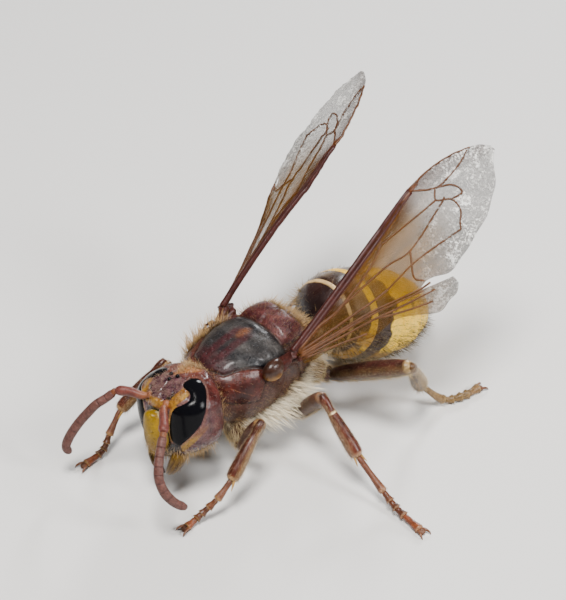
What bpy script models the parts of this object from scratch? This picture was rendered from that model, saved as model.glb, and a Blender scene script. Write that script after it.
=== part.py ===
"""Life-size european hornet that stands on six feet with its wings raised and half open.

The insect faces -Y, its left side is +X and up is +Z. The shape is drawn in a small unit, U, with the middle
of the thorax near zero, and is scaled to metres and set down with its feet at z = 0 at the end.
"""
import math

import bmesh
import bpy
import numpy as np
from mathutils import Matrix, Vector

# Driving sizes
BODY_LENGTH = 0.0278  # metres, from the face to the tip of the tail
BODY_UNITS = 25.1  # the same length in drawing units
U = BODY_LENGTH / BODY_UNITS  # about 1.1 mm
GAP = 0.0003 / U  # clear space between neighbours
THIN = 0.00025 / U  # half the thickness of a wing, and the least radius of a leg
FLOOR = -6.56  # height of the soles
LEFT, RIGHT = 1, -1

BODY_SIDES = 28
LIMB_SIDES = 8

# Thorax stations: y, half width, top, bottom
THORAX = (
    (-5.45, 1.10, -0.65, -2.10),
    (-5.20, 1.65, -0.10, -2.65),
    (-4.70, 2.15, 0.60, -3.10),
    (-3.70, 2.70, 1.15, -3.60),
    (-2.50, 3.00, 1.48, -3.85),
    (-1.20, 3.05, 1.62, -3.95),
    (0.10, 2.95, 1.58, -3.90),
    (1.10, 2.75, 1.85, -3.75),
    (2.10, 2.50, 1.80, -3.45),
    (2.90, 2.20, 1.25, -3.05),
    (3.70, 1.75, 0.45, -2.55),
    (4.30, 1.20, -0.30, -2.05),
    (4.60, 0.70, -0.80, -1.70),
)
THORAX_BELLY = 0.48  # height of the widest line, as a share of the way up
THORAX_SQUARE = 2.4

# Head stations, from the chin up: z, half width, front, back
HEAD = (
    (-3.80, 1.17, -8.75, -6.86),
    (-3.45, 1.82, -8.95, -6.36),
    (-2.80, 2.53, -9.05, -5.86),
    (-1.90, 2.98, -9.05, -5.56),
    (-0.90, 3.08, -9.00, -5.47),
    (0.00, 2.96, -8.90, -5.31),
    (0.52, 2.49, -8.63, -5.13),
    (0.89, 2.00, -8.15, -5.09),
    (1.13, 1.47, -7.60, -5.24),
    (1.26, 0.77, -7.10, -5.54),
)
HEAD_TURN = (0.09, 0.22, 0.05)  # radians: face up, far side down, face to the left
HEAD_MOVE = (0.14, 0.09, -0.09)  # how far the head is moved after its turn
HEAD_WIDEST = -6.45
HEAD_SQUARE = 2.3

# Tail stations, from the waist back: y, z, half width, half height
TAIL = (
    (4.86, -1.28, 0.42, 0.40),
    (5.02, -1.22, 1.05, 0.95),
    (5.30, -1.08, 1.70, 1.52),
    (5.70, -0.90, 2.22, 1.98),
    (6.15, -0.80, 2.52, 2.25),
    (6.80, -1.08, 2.92, 2.62),
    (7.70, -1.58, 3.25, 2.90),
    (8.70, -2.12, 3.40, 3.05),
    (9.80, -2.68, 3.38, 3.05),
    (10.80, -3.12, 3.36, 2.98),
    (12.00, -3.60, 3.12, 2.70),
    (13.20, -4.02, 2.62, 2.28),
    (14.20, -4.36, 1.98, 1.72),
    (15.05, -4.64, 1.20, 1.05),
    (15.60, -4.84, 0.35, 0.32),
)
TAIL_SLOPE = ((4.8, 0.10), (6.15, -0.28), (7.7, -0.52), (9.8, -0.50), (12.0, -0.40), (15.6, -0.32))
TAIL_SEAMS = (0.0, 4.0, 5.9, 8.4, 10.2, 11.8, 14.0)  # in stations, six rings
TAIL_RINGS = (5, 4, 3, 3, 3, 4)
RIM_STEP = 0.05  # how far the hind rim of a ring stands out

# Wings: a frame for each at its root, as if both were the left one, and edges as (along, across) in it
WING_ROOT = (3.38, -0.30, 0.87)
WING_ALONG = {LEFT: (0.1368, 0.8290, 0.5423), RIGHT: (0.0956, 0.7942, 0.6001)}
WING_UP = {LEFT: (0.4169, -0.5447, 0.7276), RIGHT: (0.4454, -0.5732, 0.6877)}
WING_TWIST = {LEFT: 0.0, RIGHT: 0.42}  # radians at the root, none from TWIST_END on
TWIST_END = 11.0
WING_CAMBER = 0.012
REAR_DROOP = 0.52  # how steeply the field behind the fold line falls away
LEAD_EDGE = (
    (0.5, -0.42), (1.8, -0.52), (5.4, -1.0), (8.8, -1.52), (11.0, -1.85), (13.1, -2.14),
    (14.4, -2.14), (15.5, -2.0), (16.7, -1.68), (17.75, -1.2), (18.4, -0.7), (18.74, -0.2),
)
FOLD_LINE = ((0.5, 0.2), (2.8, 0.8), (5.6, 1.6), (7.4, 2.3), (8.9, 2.9), (10.3, 3.2))
REAR_EDGE = (
    (10.5, 3.1), (11.45, 3.38), (12.95, 3.31), (14.6, 2.99), (16.2, 2.3), (17.2, 1.67),
    (18.1, 0.6), (18.74, 0.1),
)
HIND_EDGE = (
    (0.5, 0.80), (2.1, 1.35), (3.3, 1.88), (4.7, 2.68), (6.6, 3.05), (8.15, 4.08), (8.7, 4.43),
    (9.5, 4.74), (10.4, 4.68), (11.0, 4.10),
)
FORE_VEINS = (
    ((0.7, -0.2), (5.6, -0.95), (9.4, -1.4), (13.1, -1.9), (16.0, -1.7), (17.6, -1.0)),
    ((1.0, -0.05), (4.5, 0.0), (7.8, -0.4), (9.2, -0.9), (9.5, -1.35)),
    ((9.2, -0.9), (11.6, -0.6), (13.8, -0.4)),
    ((4.5, 0.0), (8.4, 0.3), (10.3, 0.7), (13.6, 0.1)),
    ((13.1, -1.9), (14.3, -0.9), (15.4, -0.8), (17.4, -1.0)),
    ((14.3, -0.9), (13.8, -0.4), (14.6, 0.4), (14.4, 1.2), (13.5, 2.1), (10.2, 1.4)),
    ((10.3, 0.7), (9.7, 1.4), (9.3, 2.2), (9.7, 2.8)),
)
HIND_VEINS = (
    ((0.8, 0.55), (5.6, 2.0), (7.4, 2.7), (9.6, 3.5)),
    ((5.6, 2.0), (7.2, 3.0), (9.0, 3.9)),
)

# Legs: hip inside the thorax, end of the trochanter, knee, end of the shin, then along the foot
LEGS = {
    "leg_fore_left": (
        (1.30, -3.30, -3.00), (2.55, -3.85, -4.90), (4.41, -3.87, -1.60), (4.92, -6.86, -4.10),
        (4.88, -8.04, -5.00), (4.47, -9.13, -5.95), (4.40, -10.27, -6.34),
    ),
    "leg_fore_right": (
        (-1.30, -3.30, -3.00), (-2.55, -3.95, -4.90), (-4.41, -4.20, -1.60), (-4.98, -7.55, -4.00),
        (-4.70, -8.80, -5.20), (-4.49, -9.60, -6.00), (-4.52, -11.03, -6.34),
    ),
    "leg_mid_left": (
        (1.40, 0.50, -3.00), (2.80, 1.00, -4.70), (5.81, 0.19, -1.00), (8.98, 0.17, -3.85),
        (11.24, 0.19, -5.35), (12.63, 0.13, -6.02), (14.70, 0.03, -6.34),
    ),
    "leg_mid_right": (
        (-1.40, 0.50, -3.00), (-2.80, 1.00, -4.70), (-5.30, 1.50, -2.30), (-6.90, 1.90, -4.90),
        (-7.30, 3.20, -6.00), (-7.40, 4.30, -6.25), (-7.50, 5.60, -6.34),
    ),
    "leg_hind_left": (
        (1.40, 2.70, -2.30), (2.70, 3.90, -3.10), (8.40, 5.60, -0.05), (6.75, 8.45, -4.20),
        (7.30, 10.10, -6.05), (7.84, 11.40, -6.25), (7.97, 12.94, -6.34),
    ),
    "leg_hind_right": (
        (-1.40, 2.70, -2.30), (-2.70, 3.90, -3.10), (-4.70, 9.10, -3.60), (-5.60, 12.90, -5.60),
        (-5.60, 14.00, -6.20), (-5.45, 15.20, -6.30), (-5.25, 16.60, -6.34),
    ),
}
THICKNESS = {"fore": 0.92, "mid": 0.95, "hind": 1.05}
COXA_RADII = (0.95, 0.80, 0.50)
THIGH_RADII = (0.42, 0.54, 0.60, 0.58, 0.44)
SHIN_RADII = (0.34, 0.40, 0.45, 0.47, 0.42)
FOOT_RADIUS = (0.24, 0.31)
FOOT_JOINTS = (0.0, 0.36, 0.52, 0.66, 0.78, 1.0)
FOOT_STEP = 0.012  # share of the foot over which one joint narrows to the next
CLAW_LENGTH = 0.62
CLAW_SPREAD = (0.10, 0.30, 0.40)  # how far apart from the middle at the root, the bend and the tip
CLAW_HEIGHT = (0.22, 0.02)  # above the floor, at the bend and the tip
CLAW_RADII = (0.17, 0.13, 0.06)
SOLE_RADIUS = 0.30
SOLE_AHEAD = 0.12
SOLE_HEIGHT = 0.16  # less than the radius, so that the floor cuts a flat off it

SCAPE_RADII = (0.24, 0.27, 0.30, 0.30)
FEELER_RADIUS = ((0.0, 0.28), (0.5, 0.31), (1.0, 0.23))
FEELER_RINGS = 12
SCAPES = {
    LEFT: ((0.66, -8.30, 0.45), (1.02, -8.95, 0.38), (1.80, -9.60, 0.33), (2.50, -10.25, 0.28)),
    RIGHT: ((-0.72, -8.35, 0.25), (-1.25, -8.80, 0.15), (-1.95, -9.15, 0.25), (-2.70, -9.65, 0.16)),
}
FEELERS = {
    LEFT: (
        (2.50, -10.25, 0.28), (3.00, -10.95, -0.34), (3.50, -11.59, -0.98), (3.90, -11.92, -1.66),
        (4.30, -11.86, -2.51), (4.60, -11.36, -3.43), (4.90, -10.72, -4.05),
    ),
    RIGHT: (
        (-2.70, -9.65, 0.16), (-3.00, -10.14, -0.31), (-3.35, -10.78, -0.73), (-3.75, -11.29, -1.48),
        (-4.10, -11.74, -2.23), (-4.45, -12.22, -3.23), (-4.60, -12.44, -4.02), (-4.60, -12.20, -4.62),
    ),
}

# Eye and clypeus, between edges given as directions from SKULL_CENTRE: degrees round from the face, degrees up
SKULL_CENTRE = (0.0, -6.9, -1.0)
EYE_INNER = (
    (103, 64), (72, 63), (63, 54), (69, 43), (65, 34), (52, 29), (38, 24), (31, 10), (27, -10),
    (28, -26), (40, -33),
)
EYE_OUTER = (
    (103, 64), (112, 56), (106, 47), (100, 39), (93, 31), (86, 23), (80, 13), (74, 0), (64, -11),
    (52, -23), (40, -33),
)
EYE_BULGE = 0.16
EYE_DEPTH = 0.55
CLYPEUS = (  # degrees up, half width in degrees
    (18, 3), (16, 11), (11, 16), (-2, 19), (-12, 21), (-20, 23), (-30, 23), (-37, 17), (-41, 3),
)
CLYPEUS_BULGE = 0.32
CLYPEUS_DEPTH = 0.50

MANDIBLE = (
    (1.12, -8.25, -3.10), (1.06, -8.55, -3.65), (0.82, -8.75, -4.20), (0.50, -8.85, -4.62),
    (0.18, -8.80, -4.92),
)
MANDIBLE_RADII = (0.50, 0.58, 0.52, 0.36, 0.12)
MANDIBLE_FLAT = 0.62

TEGULA = (3.02, -1.62, 0.52)
TEGULA_SIZE = (0.46, 0.70, 0.60)

COLOURS = {
    "head": (0.23, 0.03, 0.025), "clypeus": (0.55, 0.33, 0.02), "eye": (0.01, 0.01, 0.012),
    "mandible": (0.48, 0.28, 0.03), "scape": (0.42, 0.12, 0.05), "feeler": (0.28, 0.12, 0.09),
    "pronotum": (0.22, 0.035, 0.02), "mesoscutum": (0.04, 0.035, 0.035), "scutellum": (0.27, 0.07, 0.06),
    "thorax": (0.12, 0.06, 0.04), "propodeum": (0.10, 0.04, 0.03), "tegula": (0.30, 0.08, 0.03),
    "gaster_1": (0.09, 0.04, 0.03), "gaster_2": (0.30, 0.18, 0.06), "gaster_3": (0.70, 0.45, 0.05),
    "gaster_4": (0.80, 0.52, 0.06), "gaster_5": (0.80, 0.52, 0.06), "gaster_6": (0.78, 0.50, 0.06),
    "wing": (0.35, 0.16, 0.03), "coxa": (0.10, 0.04, 0.03), "femur": (0.13, 0.03, 0.02),
    "tibia": (0.28, 0.08, 0.04), "tarsus": (0.48, 0.22, 0.08),
}


def along(keys, t):
    """The value at t of a smooth curve through keys, which are rows of t and one or more values."""
    table = np.asarray(keys, float)
    x, y = table[:, 0], table[:, 1:]
    slope = np.gradient(y, x, axis=0)
    t = min(max(t, x[0]), x[-1])
    i = min(int(np.searchsorted(x, t, side="right")) - 1, len(x) - 2)
    h = x[i + 1] - x[i]
    s = (t - x[i]) / h
    rise = (
        y[i] * (1 + 2 * s) * (1 - s) ** 2
        + y[i + 1] * s * s * (3 - 2 * s)
        + slope[i] * h * s * (1 - s) ** 2
        + slope[i + 1] * h * s * s * (s - 1)
    )
    return rise


def path_point(points, share):
    """The point at a share of the way along a smooth path, with the points counted as evenly spaced."""
    rows = [(i / (len(points) - 1), *p) for i, p in enumerate(points)]
    return Vector(along(rows, share))


def rounded(angle, power):
    """Cosine and sine of an angle, pushed outwards towards a rounded square."""
    c, s = math.cos(angle), math.sin(angle)
    return math.copysign(abs(c) ** (2 / power), c), math.copysign(abs(s) ** (2 / power), s)


def facing_out(bm):
    """Turns every face of a closed mesh outwards."""
    bmesh.ops.recalc_face_normals(bm, faces=bm.faces[:])
    if bm.calc_volume(signed=True) < 0:
        bmesh.ops.reverse_faces(bm, faces=bm.faces[:])
    bm.normal_update()
    return bm


def loft(rings):
    """A closed surface through rings of equally many points, with a flat cap on each end."""
    bm = bmesh.new()
    rows = [[bm.verts.new(p) for p in ring] for ring in rings]
    count = len(rows[0])
    for low, high in zip(rows, rows[1:]):
        for i in range(count):
            j = (i + 1) % count
            bm.faces.new((low[i], low[j], high[j], high[i]))
    bm.faces.new(rows[0][::-1])
    bm.faces.new(rows[-1])
    return facing_out(bm)


def tube(points, radii, sides=LIMB_SIDES, flat=1.0):
    """A round limb through points, each ring square to the way on, with flat narrowing it across."""
    rings = []
    side = None
    for i, point in enumerate(points):
        before = points[max(i - 1, 0)]
        after = points[min(i + 1, len(points) - 1)]
        way = (Vector(after) - Vector(before)).normalized()
        if side is None:
            side = way.orthogonal()
        side = (side - way * side.dot(way)).normalized()
        other = way.cross(side)
        ring = []
        for k in range(sides):
            angle = 2 * math.pi * (k + 0.5) / sides
            across = side * math.cos(angle) * flat + other * math.sin(angle)
            ring.append(Vector(point) + across * radii[i])
        rings.append(ring)
    return loft(rings)


def cut(bm, point, normal):
    """Takes off what lies past a plane and closes the cut with a flat face."""
    geometry = bm.verts[:] + bm.edges[:] + bm.faces[:]
    bmesh.ops.bisect_plane(
        bm, geom=geometry, dist=1e-6, plane_co=Vector(point), plane_no=Vector(normal), clear_outer=True
    )
    open_edges = [e for e in bm.edges if e.is_boundary]
    bmesh.ops.holes_fill(bm, edges=open_edges, sides=0)
    return bm


def block(planes, grow=0.0):
    """The convex block inside planes, each a point and an outward normal, all moved out by grow."""
    bm = bmesh.new()
    bmesh.ops.create_cube(bm, size=80)
    for point, normal in planes:
        outward = Vector(normal).normalized()
        cut(bm, Vector(point) + outward * grow, outward)
    return bm


def raw_object(name, bm):
    mesh = bpy.data.meshes.new(name)
    bm.to_mesh(mesh)
    made = bpy.data.objects.new(name, mesh)
    return made


def largest_surface(bm):
    """Drops every closed surface of a mesh but the one that holds most."""
    bm.faces.ensure_lookup_table()
    left = set(bm.faces)
    groups = []
    while left:
        stack = [left.pop()]
        group = []
        while stack:
            face = stack.pop()
            group.append(face)
            for edge in face.edges:
                for near in edge.link_faces:
                    if near in left:
                        left.remove(near)
                        stack.append(near)
        groups.append(group)

    def held(group):
        total = 0.0
        for face in group:
            a = face.verts[0].co
            for b, c in zip(face.verts[1:], face.verts[2:]):
                total += a.dot(b.co.cross(c.co))
        return total

    groups.sort(key=held)
    loose = [face for group in groups[:-1] for face in group]
    bmesh.ops.delete(bm, geom=loose, context="FACES")
    return bm


def combine(bm, others, operation):
    """Joins other closed meshes to bm, or cuts them out of it, in one Boolean."""
    scene = bpy.context.scene.collection
    target = raw_object("target", bm)
    scene.objects.link(target)
    tools = bpy.data.collections.new("tools")
    scene.children.link(tools)
    for other in others:
        tools.objects.link(raw_object("tool", other))
        other.free()
    modifier = target.modifiers.new("combine", "BOOLEAN")
    modifier.operand_type = "COLLECTION"
    modifier.collection = tools
    modifier.operation = operation
    for solver in ("EXACT", "MANIFOLD"):
        modifier.solver = solver
        depsgraph = bpy.context.evaluated_depsgraph_get()
        mesh = bpy.data.meshes.new_from_object(target.evaluated_get(depsgraph))
        result = bmesh.new()
        result.from_mesh(mesh)
        if all(edge.is_manifold for edge in result.edges):
            break
    for used in [target, *tools.objects]:
        bpy.data.meshes.remove(used.data)
    bpy.data.collections.remove(tools)
    bpy.data.meshes.remove(mesh)
    bm.free()
    return largest_surface(result)


def mirrored(bm, side):
    """The mesh itself for the left side, or its mirror image for the right."""
    if side == RIGHT:
        bmesh.ops.scale(bm, vec=(-1, 1, 1), verts=bm.verts)
        bmesh.ops.reverse_faces(bm, faces=bm.faces)
    return bm


def side_name(name, side):
    return f"{name}_{'left' if side == LEFT else 'right'}"


def finish_node(name, bm, colour):
    """Turns a drawing into a named object with a material of its own."""
    bmesh.ops.remove_doubles(bm, verts=bm.verts[:], dist=1e-4)
    bmesh.ops.dissolve_degenerate(bm, dist=1e-4, edges=bm.edges[:])
    bmesh.ops.holes_fill(bm, edges=[e for e in bm.edges if e.is_boundary], sides=0)
    bmesh.ops.triangulate(bm, faces=bm.faces[:])
    made = raw_object(name, bm)
    bm.free()
    bpy.context.scene.collection.objects.link(made)
    material = bpy.data.materials.new(name)
    material.use_nodes = True
    shader = material.node_tree.nodes["Principled BSDF"]
    shader.inputs["Base Color"].default_value = (*COLOURS[colour], 1.0)
    shader.inputs["Roughness"].default_value = 0.35
    shader.inputs["Metallic"].default_value = 0.0
    made.data.materials.append(material)
    made.data.shade_smooth()
    made.data.set_sharp_from_angle(angle=math.radians(40))
    return made


# Thorax

def thorax_ring(y, grow=0.0):
    """One slice of the thorax, square to Y."""
    half, top, bottom = along(THORAX, y)
    middle = bottom + THORAX_BELLY * (top - bottom)
    ring = []
    for k in range(BODY_SIDES):
        c, s = rounded(2 * math.pi * (k + 0.5) / BODY_SIDES, THORAX_SQUARE)
        tall = (top - middle if s > 0 else middle - bottom) + grow
        ring.append(Vector(((half + grow) * c, y, middle + tall * s)))
    return ring


def whole_thorax(grow=0.0):
    ys = [row[0] for row in THORAX]
    rings = [thorax_ring(y, grow) for y in ys]
    if grow:
        for point in rings[0]:
            point.y -= grow
        for point in rings[-1]:
            point.y += grow
    return loft(rings)


SCUTUM_CORNER = (1.40, -4.25)
SCUTUM_REAR = 0.1
KEEL = 0.35  # how steeply the undersides of the upper plates rise outwards

MESOSCUTUM_PLANES = (
    ((SCUTUM_CORNER[0], SCUTUM_CORNER[1], 0.0), (0.324, -0.946, 0.0)),
    ((SCUTUM_CORNER[0], SCUTUM_CORNER[1], 0.0), (0.902, -0.433, 0.0)),
    ((-SCUTUM_CORNER[0], SCUTUM_CORNER[1], 0.0), (-0.324, -0.946, 0.0)),
    ((-SCUTUM_CORNER[0], SCUTUM_CORNER[1], 0.0), (-0.902, -0.433, 0.0)),
    ((0.0, SCUTUM_REAR, 0.0), (0.0, 1.0, 0.0)),
    ((0.0, 0.0, -0.35), (KEEL, 0.0, -1.0)),
    ((0.0, 0.0, -0.35), (-KEEL, 0.0, -1.0)),
)
PRONOTUM_PLANES = (((0.0, -1.85, 0.49), (0.0, 1.0, -0.45)), ((0.0, 0.0, -1.75), (0.0, 0.0, -1.0)))
SCUTELLUM_PLANES = (
    ((0.0, 2.30, 1.70), (0.0, 1.0, 0.35)),
    ((0.0, 0.0, 0.20), (KEEL, 0.0, -1.0)),
    ((0.0, 0.0, 0.20), (-KEEL, 0.0, -1.0)),
    ((0.0, -1.0, 0.0), (0.0, -1.0, 0.0)),
)
PROPODEUM_PLANES = (((0.0, 2.45, 0.0), (0.0, -1.0, 0.12)),)


def part_off(whole, planes):
    """Splits a closed mesh into what lies inside the planes and the rest, with a gap between them."""
    inside = whole.copy()
    for point, normal in planes:
        cut(inside, point, normal)
    rest = combine(whole, [block(planes, GAP)], "DIFFERENCE")
    return inside, rest


def make_thorax():
    rest = combine(whole_thorax(), [turned(whole_head(GAP))], "DIFFERENCE")
    for name, planes in (
        ("mesoscutum", MESOSCUTUM_PLANES),
        ("pronotum", PRONOTUM_PLANES),
        ("scutellum", SCUTELLUM_PLANES),
        ("propodeum", PROPODEUM_PLANES),
    ):
        plate, rest = part_off(rest, planes)
        finish_node(name, largest_surface(plate), name)
    finish_node("thorax", rest, "thorax")
    for side in (LEFT, RIGHT):
        cap = bmesh.new()
        bmesh.ops.create_icosphere(cap, subdivisions=2, radius=1.0)
        bmesh.ops.scale(cap, vec=TEGULA_SIZE, verts=cap.verts)
        bmesh.ops.translate(cap, vec=TEGULA, verts=cap.verts)
        cap = combine(cap, [whole_thorax(GAP)], "DIFFERENCE")
        finish_node(side_name("tegula", side), mirrored(cap, side), "tegula")


# Head

def head_ring(z, sides=BODY_SIDES):
    """One level slice of the head."""
    half, front, back = along(HEAD, z)
    ring = []
    for k in range(sides):
        c, s = rounded(2 * math.pi * (k + 0.5) / sides, HEAD_SQUARE)
        deep = HEAD_WIDEST - front if c > 0 else back - HEAD_WIDEST
        ring.append(Vector((half * s, HEAD_WIDEST - deep * c, z)))
    return ring


def in_head(point):
    if not HEAD[0][0] < point.z < HEAD[-1][0]:
        return False
    half, front, back = along(HEAD, point.z)
    deep = HEAD_WIDEST - front if point.y < HEAD_WIDEST else back - HEAD_WIDEST
    beside = abs(point.x / half)
    before = abs((point.y - HEAD_WIDEST) / deep)
    return beside ** HEAD_SQUARE + before ** HEAD_SQUARE < 1


def head_point(round_by, up_by, lift=0.0):
    """Where a direction from the middle of the head meets its surface, moved out along it by lift."""
    a, b = math.radians(round_by), math.radians(up_by)
    way = Vector((math.sin(a) * math.cos(b), -math.cos(a) * math.cos(b), math.sin(b)))
    centre = Vector(SKULL_CENTRE)
    near, far = 0.5, 6.0
    for _ in range(24):
        middle = (near + far) / 2
        if in_head(centre + way * middle):
            near = middle
        else:
            far = middle
    return centre + way * (near + lift)


def whole_head(grow=0.0):
    rings = []
    for row in HEAD:
        centre = Vector((0.0, HEAD_WIDEST, row[0]))
        rings.append([p + (p - centre).normalized() * grow for p in head_ring(row[0])])
    for end, sign in ((0, -1), (-1, 1)):
        for point in rings[end]:
            point.z += sign * grow
    return loft(rings)


def lens(inner, outer, rows, columns, bulge, depth, spread=0.0):
    """A closed pad on the head between two edges, lifted by bulge and sunk by depth at its middle."""
    bm = bmesh.new()
    sheets = []
    ends = []
    for lift in (bulge, -depth):
        sheet = []
        for r in range(1, rows):
            t = r / rows
            a = np.array(along([(i / (len(inner) - 1), *p) for i, p in enumerate(inner)], t))
            b = np.array(along([(i / (len(outer) - 1), *p) for i, p in enumerate(outer)], t))
            line = []
            for k in range(columns + 1):
                w = 2 * k / columns - 1
                spot = a + (b - a) * (w + 1) / 2
                rise = math.sqrt(max(0.0, 1 - w * w)) * (1 - (2 * t - 1) ** 4) ** 0.5
                line.append(head_point(spot[0], spot[1], lift * rise))
            sheet.append(line)
        sheets.append(sheet)
    for row in (inner[0], inner[-1]):
        ends.append(bm.verts.new(head_point(row[0], row[1])))
    rim = {}
    grids = []
    for number, sheet in enumerate(sheets):
        grid = []
        for r, line in enumerate(sheet):
            verts = []
            for k, point in enumerate(line):
                if k in (0, columns):
                    if (r, k) not in rim:
                        rim[(r, k)] = bm.verts.new(point)
                    verts.append(rim[(r, k)])
                else:
                    verts.append(bm.verts.new(point))
            grid.append(verts)
        grids.append(grid)
    for grid in grids:
        for low, high in zip(grid, grid[1:]):
            for k in range(columns):
                bm.faces.new((low[k], low[k + 1], high[k + 1], high[k]))
        for end, line in ((ends[0], grid[0]), (ends[1], grid[-1])):
            for k in range(columns):
                bm.faces.new((end, line[k], line[k + 1]))
    facing_out(bm)
    moves = [v.normal * spread for v in bm.verts]
    for vert, move in zip(bm.verts, moves):
        vert.co += move
    return bm


def eye(spread=0.0):
    return lens(EYE_INNER, EYE_OUTER, 12, 6, EYE_BULGE, EYE_DEPTH, spread)


def clypeus(spread=0.0):
    inner = [(-width, up) for up, width in CLYPEUS]
    outer = [(width, up) for up, width in CLYPEUS]
    inner[0] = outer[0] = (0.0, CLYPEUS[0][0])
    inner[-1] = outer[-1] = (0.0, CLYPEUS[-1][0])
    return lens(inner, outer, 9, 6, CLYPEUS_BULGE, CLYPEUS_DEPTH, spread)


def turned(bm):
    """Turns a mesh drawn on the straight head as the head is turned in this pose."""
    centre = Vector(SKULL_CENTRE)
    pitch, roll, yaw = HEAD_TURN
    turn = Matrix.Rotation(yaw, 4, "Z") @ Matrix.Rotation(-pitch, 4, "X") @ Matrix.Rotation(-roll, 4, "Y")
    place = Matrix.Translation(centre + Vector(HEAD_MOVE)) @ turn @ Matrix.Translation(-centre)
    bmesh.ops.transform(bm, matrix=place, verts=bm.verts)
    return bm


def make_head():
    sockets = [clypeus(GAP)]
    for side in (LEFT, RIGHT):
        finish_node(side_name("eye", side), turned(mirrored(eye(), side)), "eye")
        sockets.append(mirrored(eye(GAP), side))
        jaw = tube(MANDIBLE, MANDIBLE_RADII, 10, MANDIBLE_FLAT)
        jaw = combine(jaw, [whole_head(GAP), clypeus(GAP)], "DIFFERENCE")
        finish_node(side_name("mandible", side), turned(mirrored(jaw, side)), "mandible")
        scape = SCAPES[side]
        rod = tube(scape, SCAPE_RADII)
        rod = combine(rod, [turned(whole_head(GAP)), turned(clypeus(GAP))], "DIFFERENCE")
        shares = [i / FEELER_RINGS for i in range(FEELER_RINGS + 1)]
        path = [path_point(FEELERS[side], share) for share in shares]
        whip = tube(path, [float(along(FEELER_RADIUS, share)[0]) for share in shares])
        mitre = Vector(FEELERS[side][1]) - Vector(scape[-2])
        mitre.normalize()
        joint = Vector(scape[-1])
        cut(rod, joint - mitre * GAP / 2, mitre)
        cut(whip, joint + mitre * GAP / 2, -mitre)
        finish_node(side_name("antenna_scape", side), rod, "scape")
        finish_node(side_name("antenna_flagellum", side), whip, "feeler")
    finish_node("clypeus", turned(clypeus()), "clypeus")
    finish_node("head", turned(combine(whole_head(), sockets, "DIFFERENCE")), "head")


# Tail

def tail_ring(station, grow=0.0):
    """One ring of the tail, leaning as TAIL_SLOPE says, at a station counted along TAIL."""
    rows = [(i, *row) for i, row in enumerate(TAIL)]
    y, z, half, tall = along(rows, station)
    way = Vector((0.0, 1.0, float(along(TAIL_SLOPE, y)[0]))).normalized()
    up = Vector((0.0, -way.z, way.y))
    ring = []
    for k in range(BODY_SIDES):
        angle = 2 * math.pi * (k + 0.5) / BODY_SIDES
        across = Vector((math.cos(angle) * (half + grow), 0, 0))
        ring.append(Vector((0, y, z)) + across + up * math.sin(angle) * (tall + grow))
    return ring, way


def make_tail():
    for number, (first, last) in enumerate(zip(TAIL_SEAMS, TAIL_SEAMS[1:])):
        count = TAIL_RINGS[number]
        rings = []
        for i in range(count + 1):
            share = i / count
            ring, way = tail_ring(first + (last - first) * share, RIM_STEP * (2 * share - 1))
            if i == 0 and number:
                ring = [p + way * GAP for p in ring]
            rings.append(ring)
        name = f"gaster_{number + 1}"
        finish_node(name, loft(rings), name)


# Wings

def wing_point(side, along_wing, across, height):
    """A place in a wing's own frame, in the drawing's space."""
    forward = Vector(WING_ALONG[side])
    up = Vector(WING_UP[side])
    chord = forward.cross(up)
    turn = WING_TWIST[side] * min(max(1 - along_wing / TWIST_END, 0.0), 1.0)
    flat = chord * math.cos(turn) - up * math.sin(turn)
    up = up * math.cos(turn) + chord * math.sin(turn)
    past = max(0.0, across - float(along(FOLD_LINE, along_wing)[0]))
    bend = -WING_CAMBER * across * across - REAR_DROOP * past
    return Vector(WING_ROOT) + forward * along_wing + flat * across + up * (height + bend)


def blade(side, first_edge, second_edge, stations):
    """A thin plate between two edges."""
    rings = []
    for u in stations:
        a = float(along(first_edge, u)[0])
        b = float(along(second_edge, u)[0])
        top = [wing_point(side, u, a + (b - a) * k / 3, THIN) for k in range(4)]
        under = [wing_point(side, u, a + (b - a) * k / 3, -THIN) for k in range(4)]
        rings.append(top + under[::-1])
    bm = bmesh.new()
    rows = [[bm.verts.new(p) for p in ring] for ring in rings]
    for low, high in zip(rows, rows[1:]):
        for i in range(8):
            j = (i + 1) % 8
            bm.faces.new((low[i], low[j], high[j], high[i]))
    for row, turn in ((rows[0], 1), (rows[-1], -1)):
        for k in range(3):
            bm.faces.new((row[k], row[7 - k], row[6 - k], row[k + 1])[::turn])
    return facing_out(bm)


VEIN_WIDTH = 0.16
VEIN_RISE = 0.10
VEIN_LAP = (0.07, 0.05)  # how far a bar runs on past its first and last points
FIRST_VEIN = 2.2  # size of the bar along the leading edge
OTHER_VEINS = 1.06


def vein(side, points, size):
    """A bar along the wing that stands out of both faces of the membrane."""
    rings = []
    for i, (u, v) in enumerate(points):
        before = Vector(points[max(i - 1, 0)])
        after = Vector(points[min(i + 1, len(points) - 1)])
        way = (after - before).normalized()
        wide = Vector((-way.y, way.x)) * VEIN_WIDTH * size / 2
        if i == 0:
            u, v = Vector((u, v)) - way * VEIN_LAP[0]
        if i == len(points) - 1:
            u, v = Vector((u, v)) + way * VEIN_LAP[1]
        tall = THIN + VEIN_RISE * size
        corners = ((1, tall), (-1, tall), (-1, -tall), (1, -tall))
        rings.append([wing_point(side, u + wide.x * k, v + wide.y * k, height) for k, height in corners])
    return loft(rings)


STUB_RADII = (0.24, 0.32, 0.34)
WING_STUB = {  # the wing's root: its place in the wing's frame, and a point inside the thorax
    "forewing": ((0.75, -0.12), (2.35, -0.75, 0.55)),
    "hindwing": ((0.85, 0.62), (2.35, 0.55, 0.10)),
}
FORE_STATIONS = (0.5, 18.72, 22)
HIND_STATIONS = (0.5, 11.0, 14)


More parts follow.
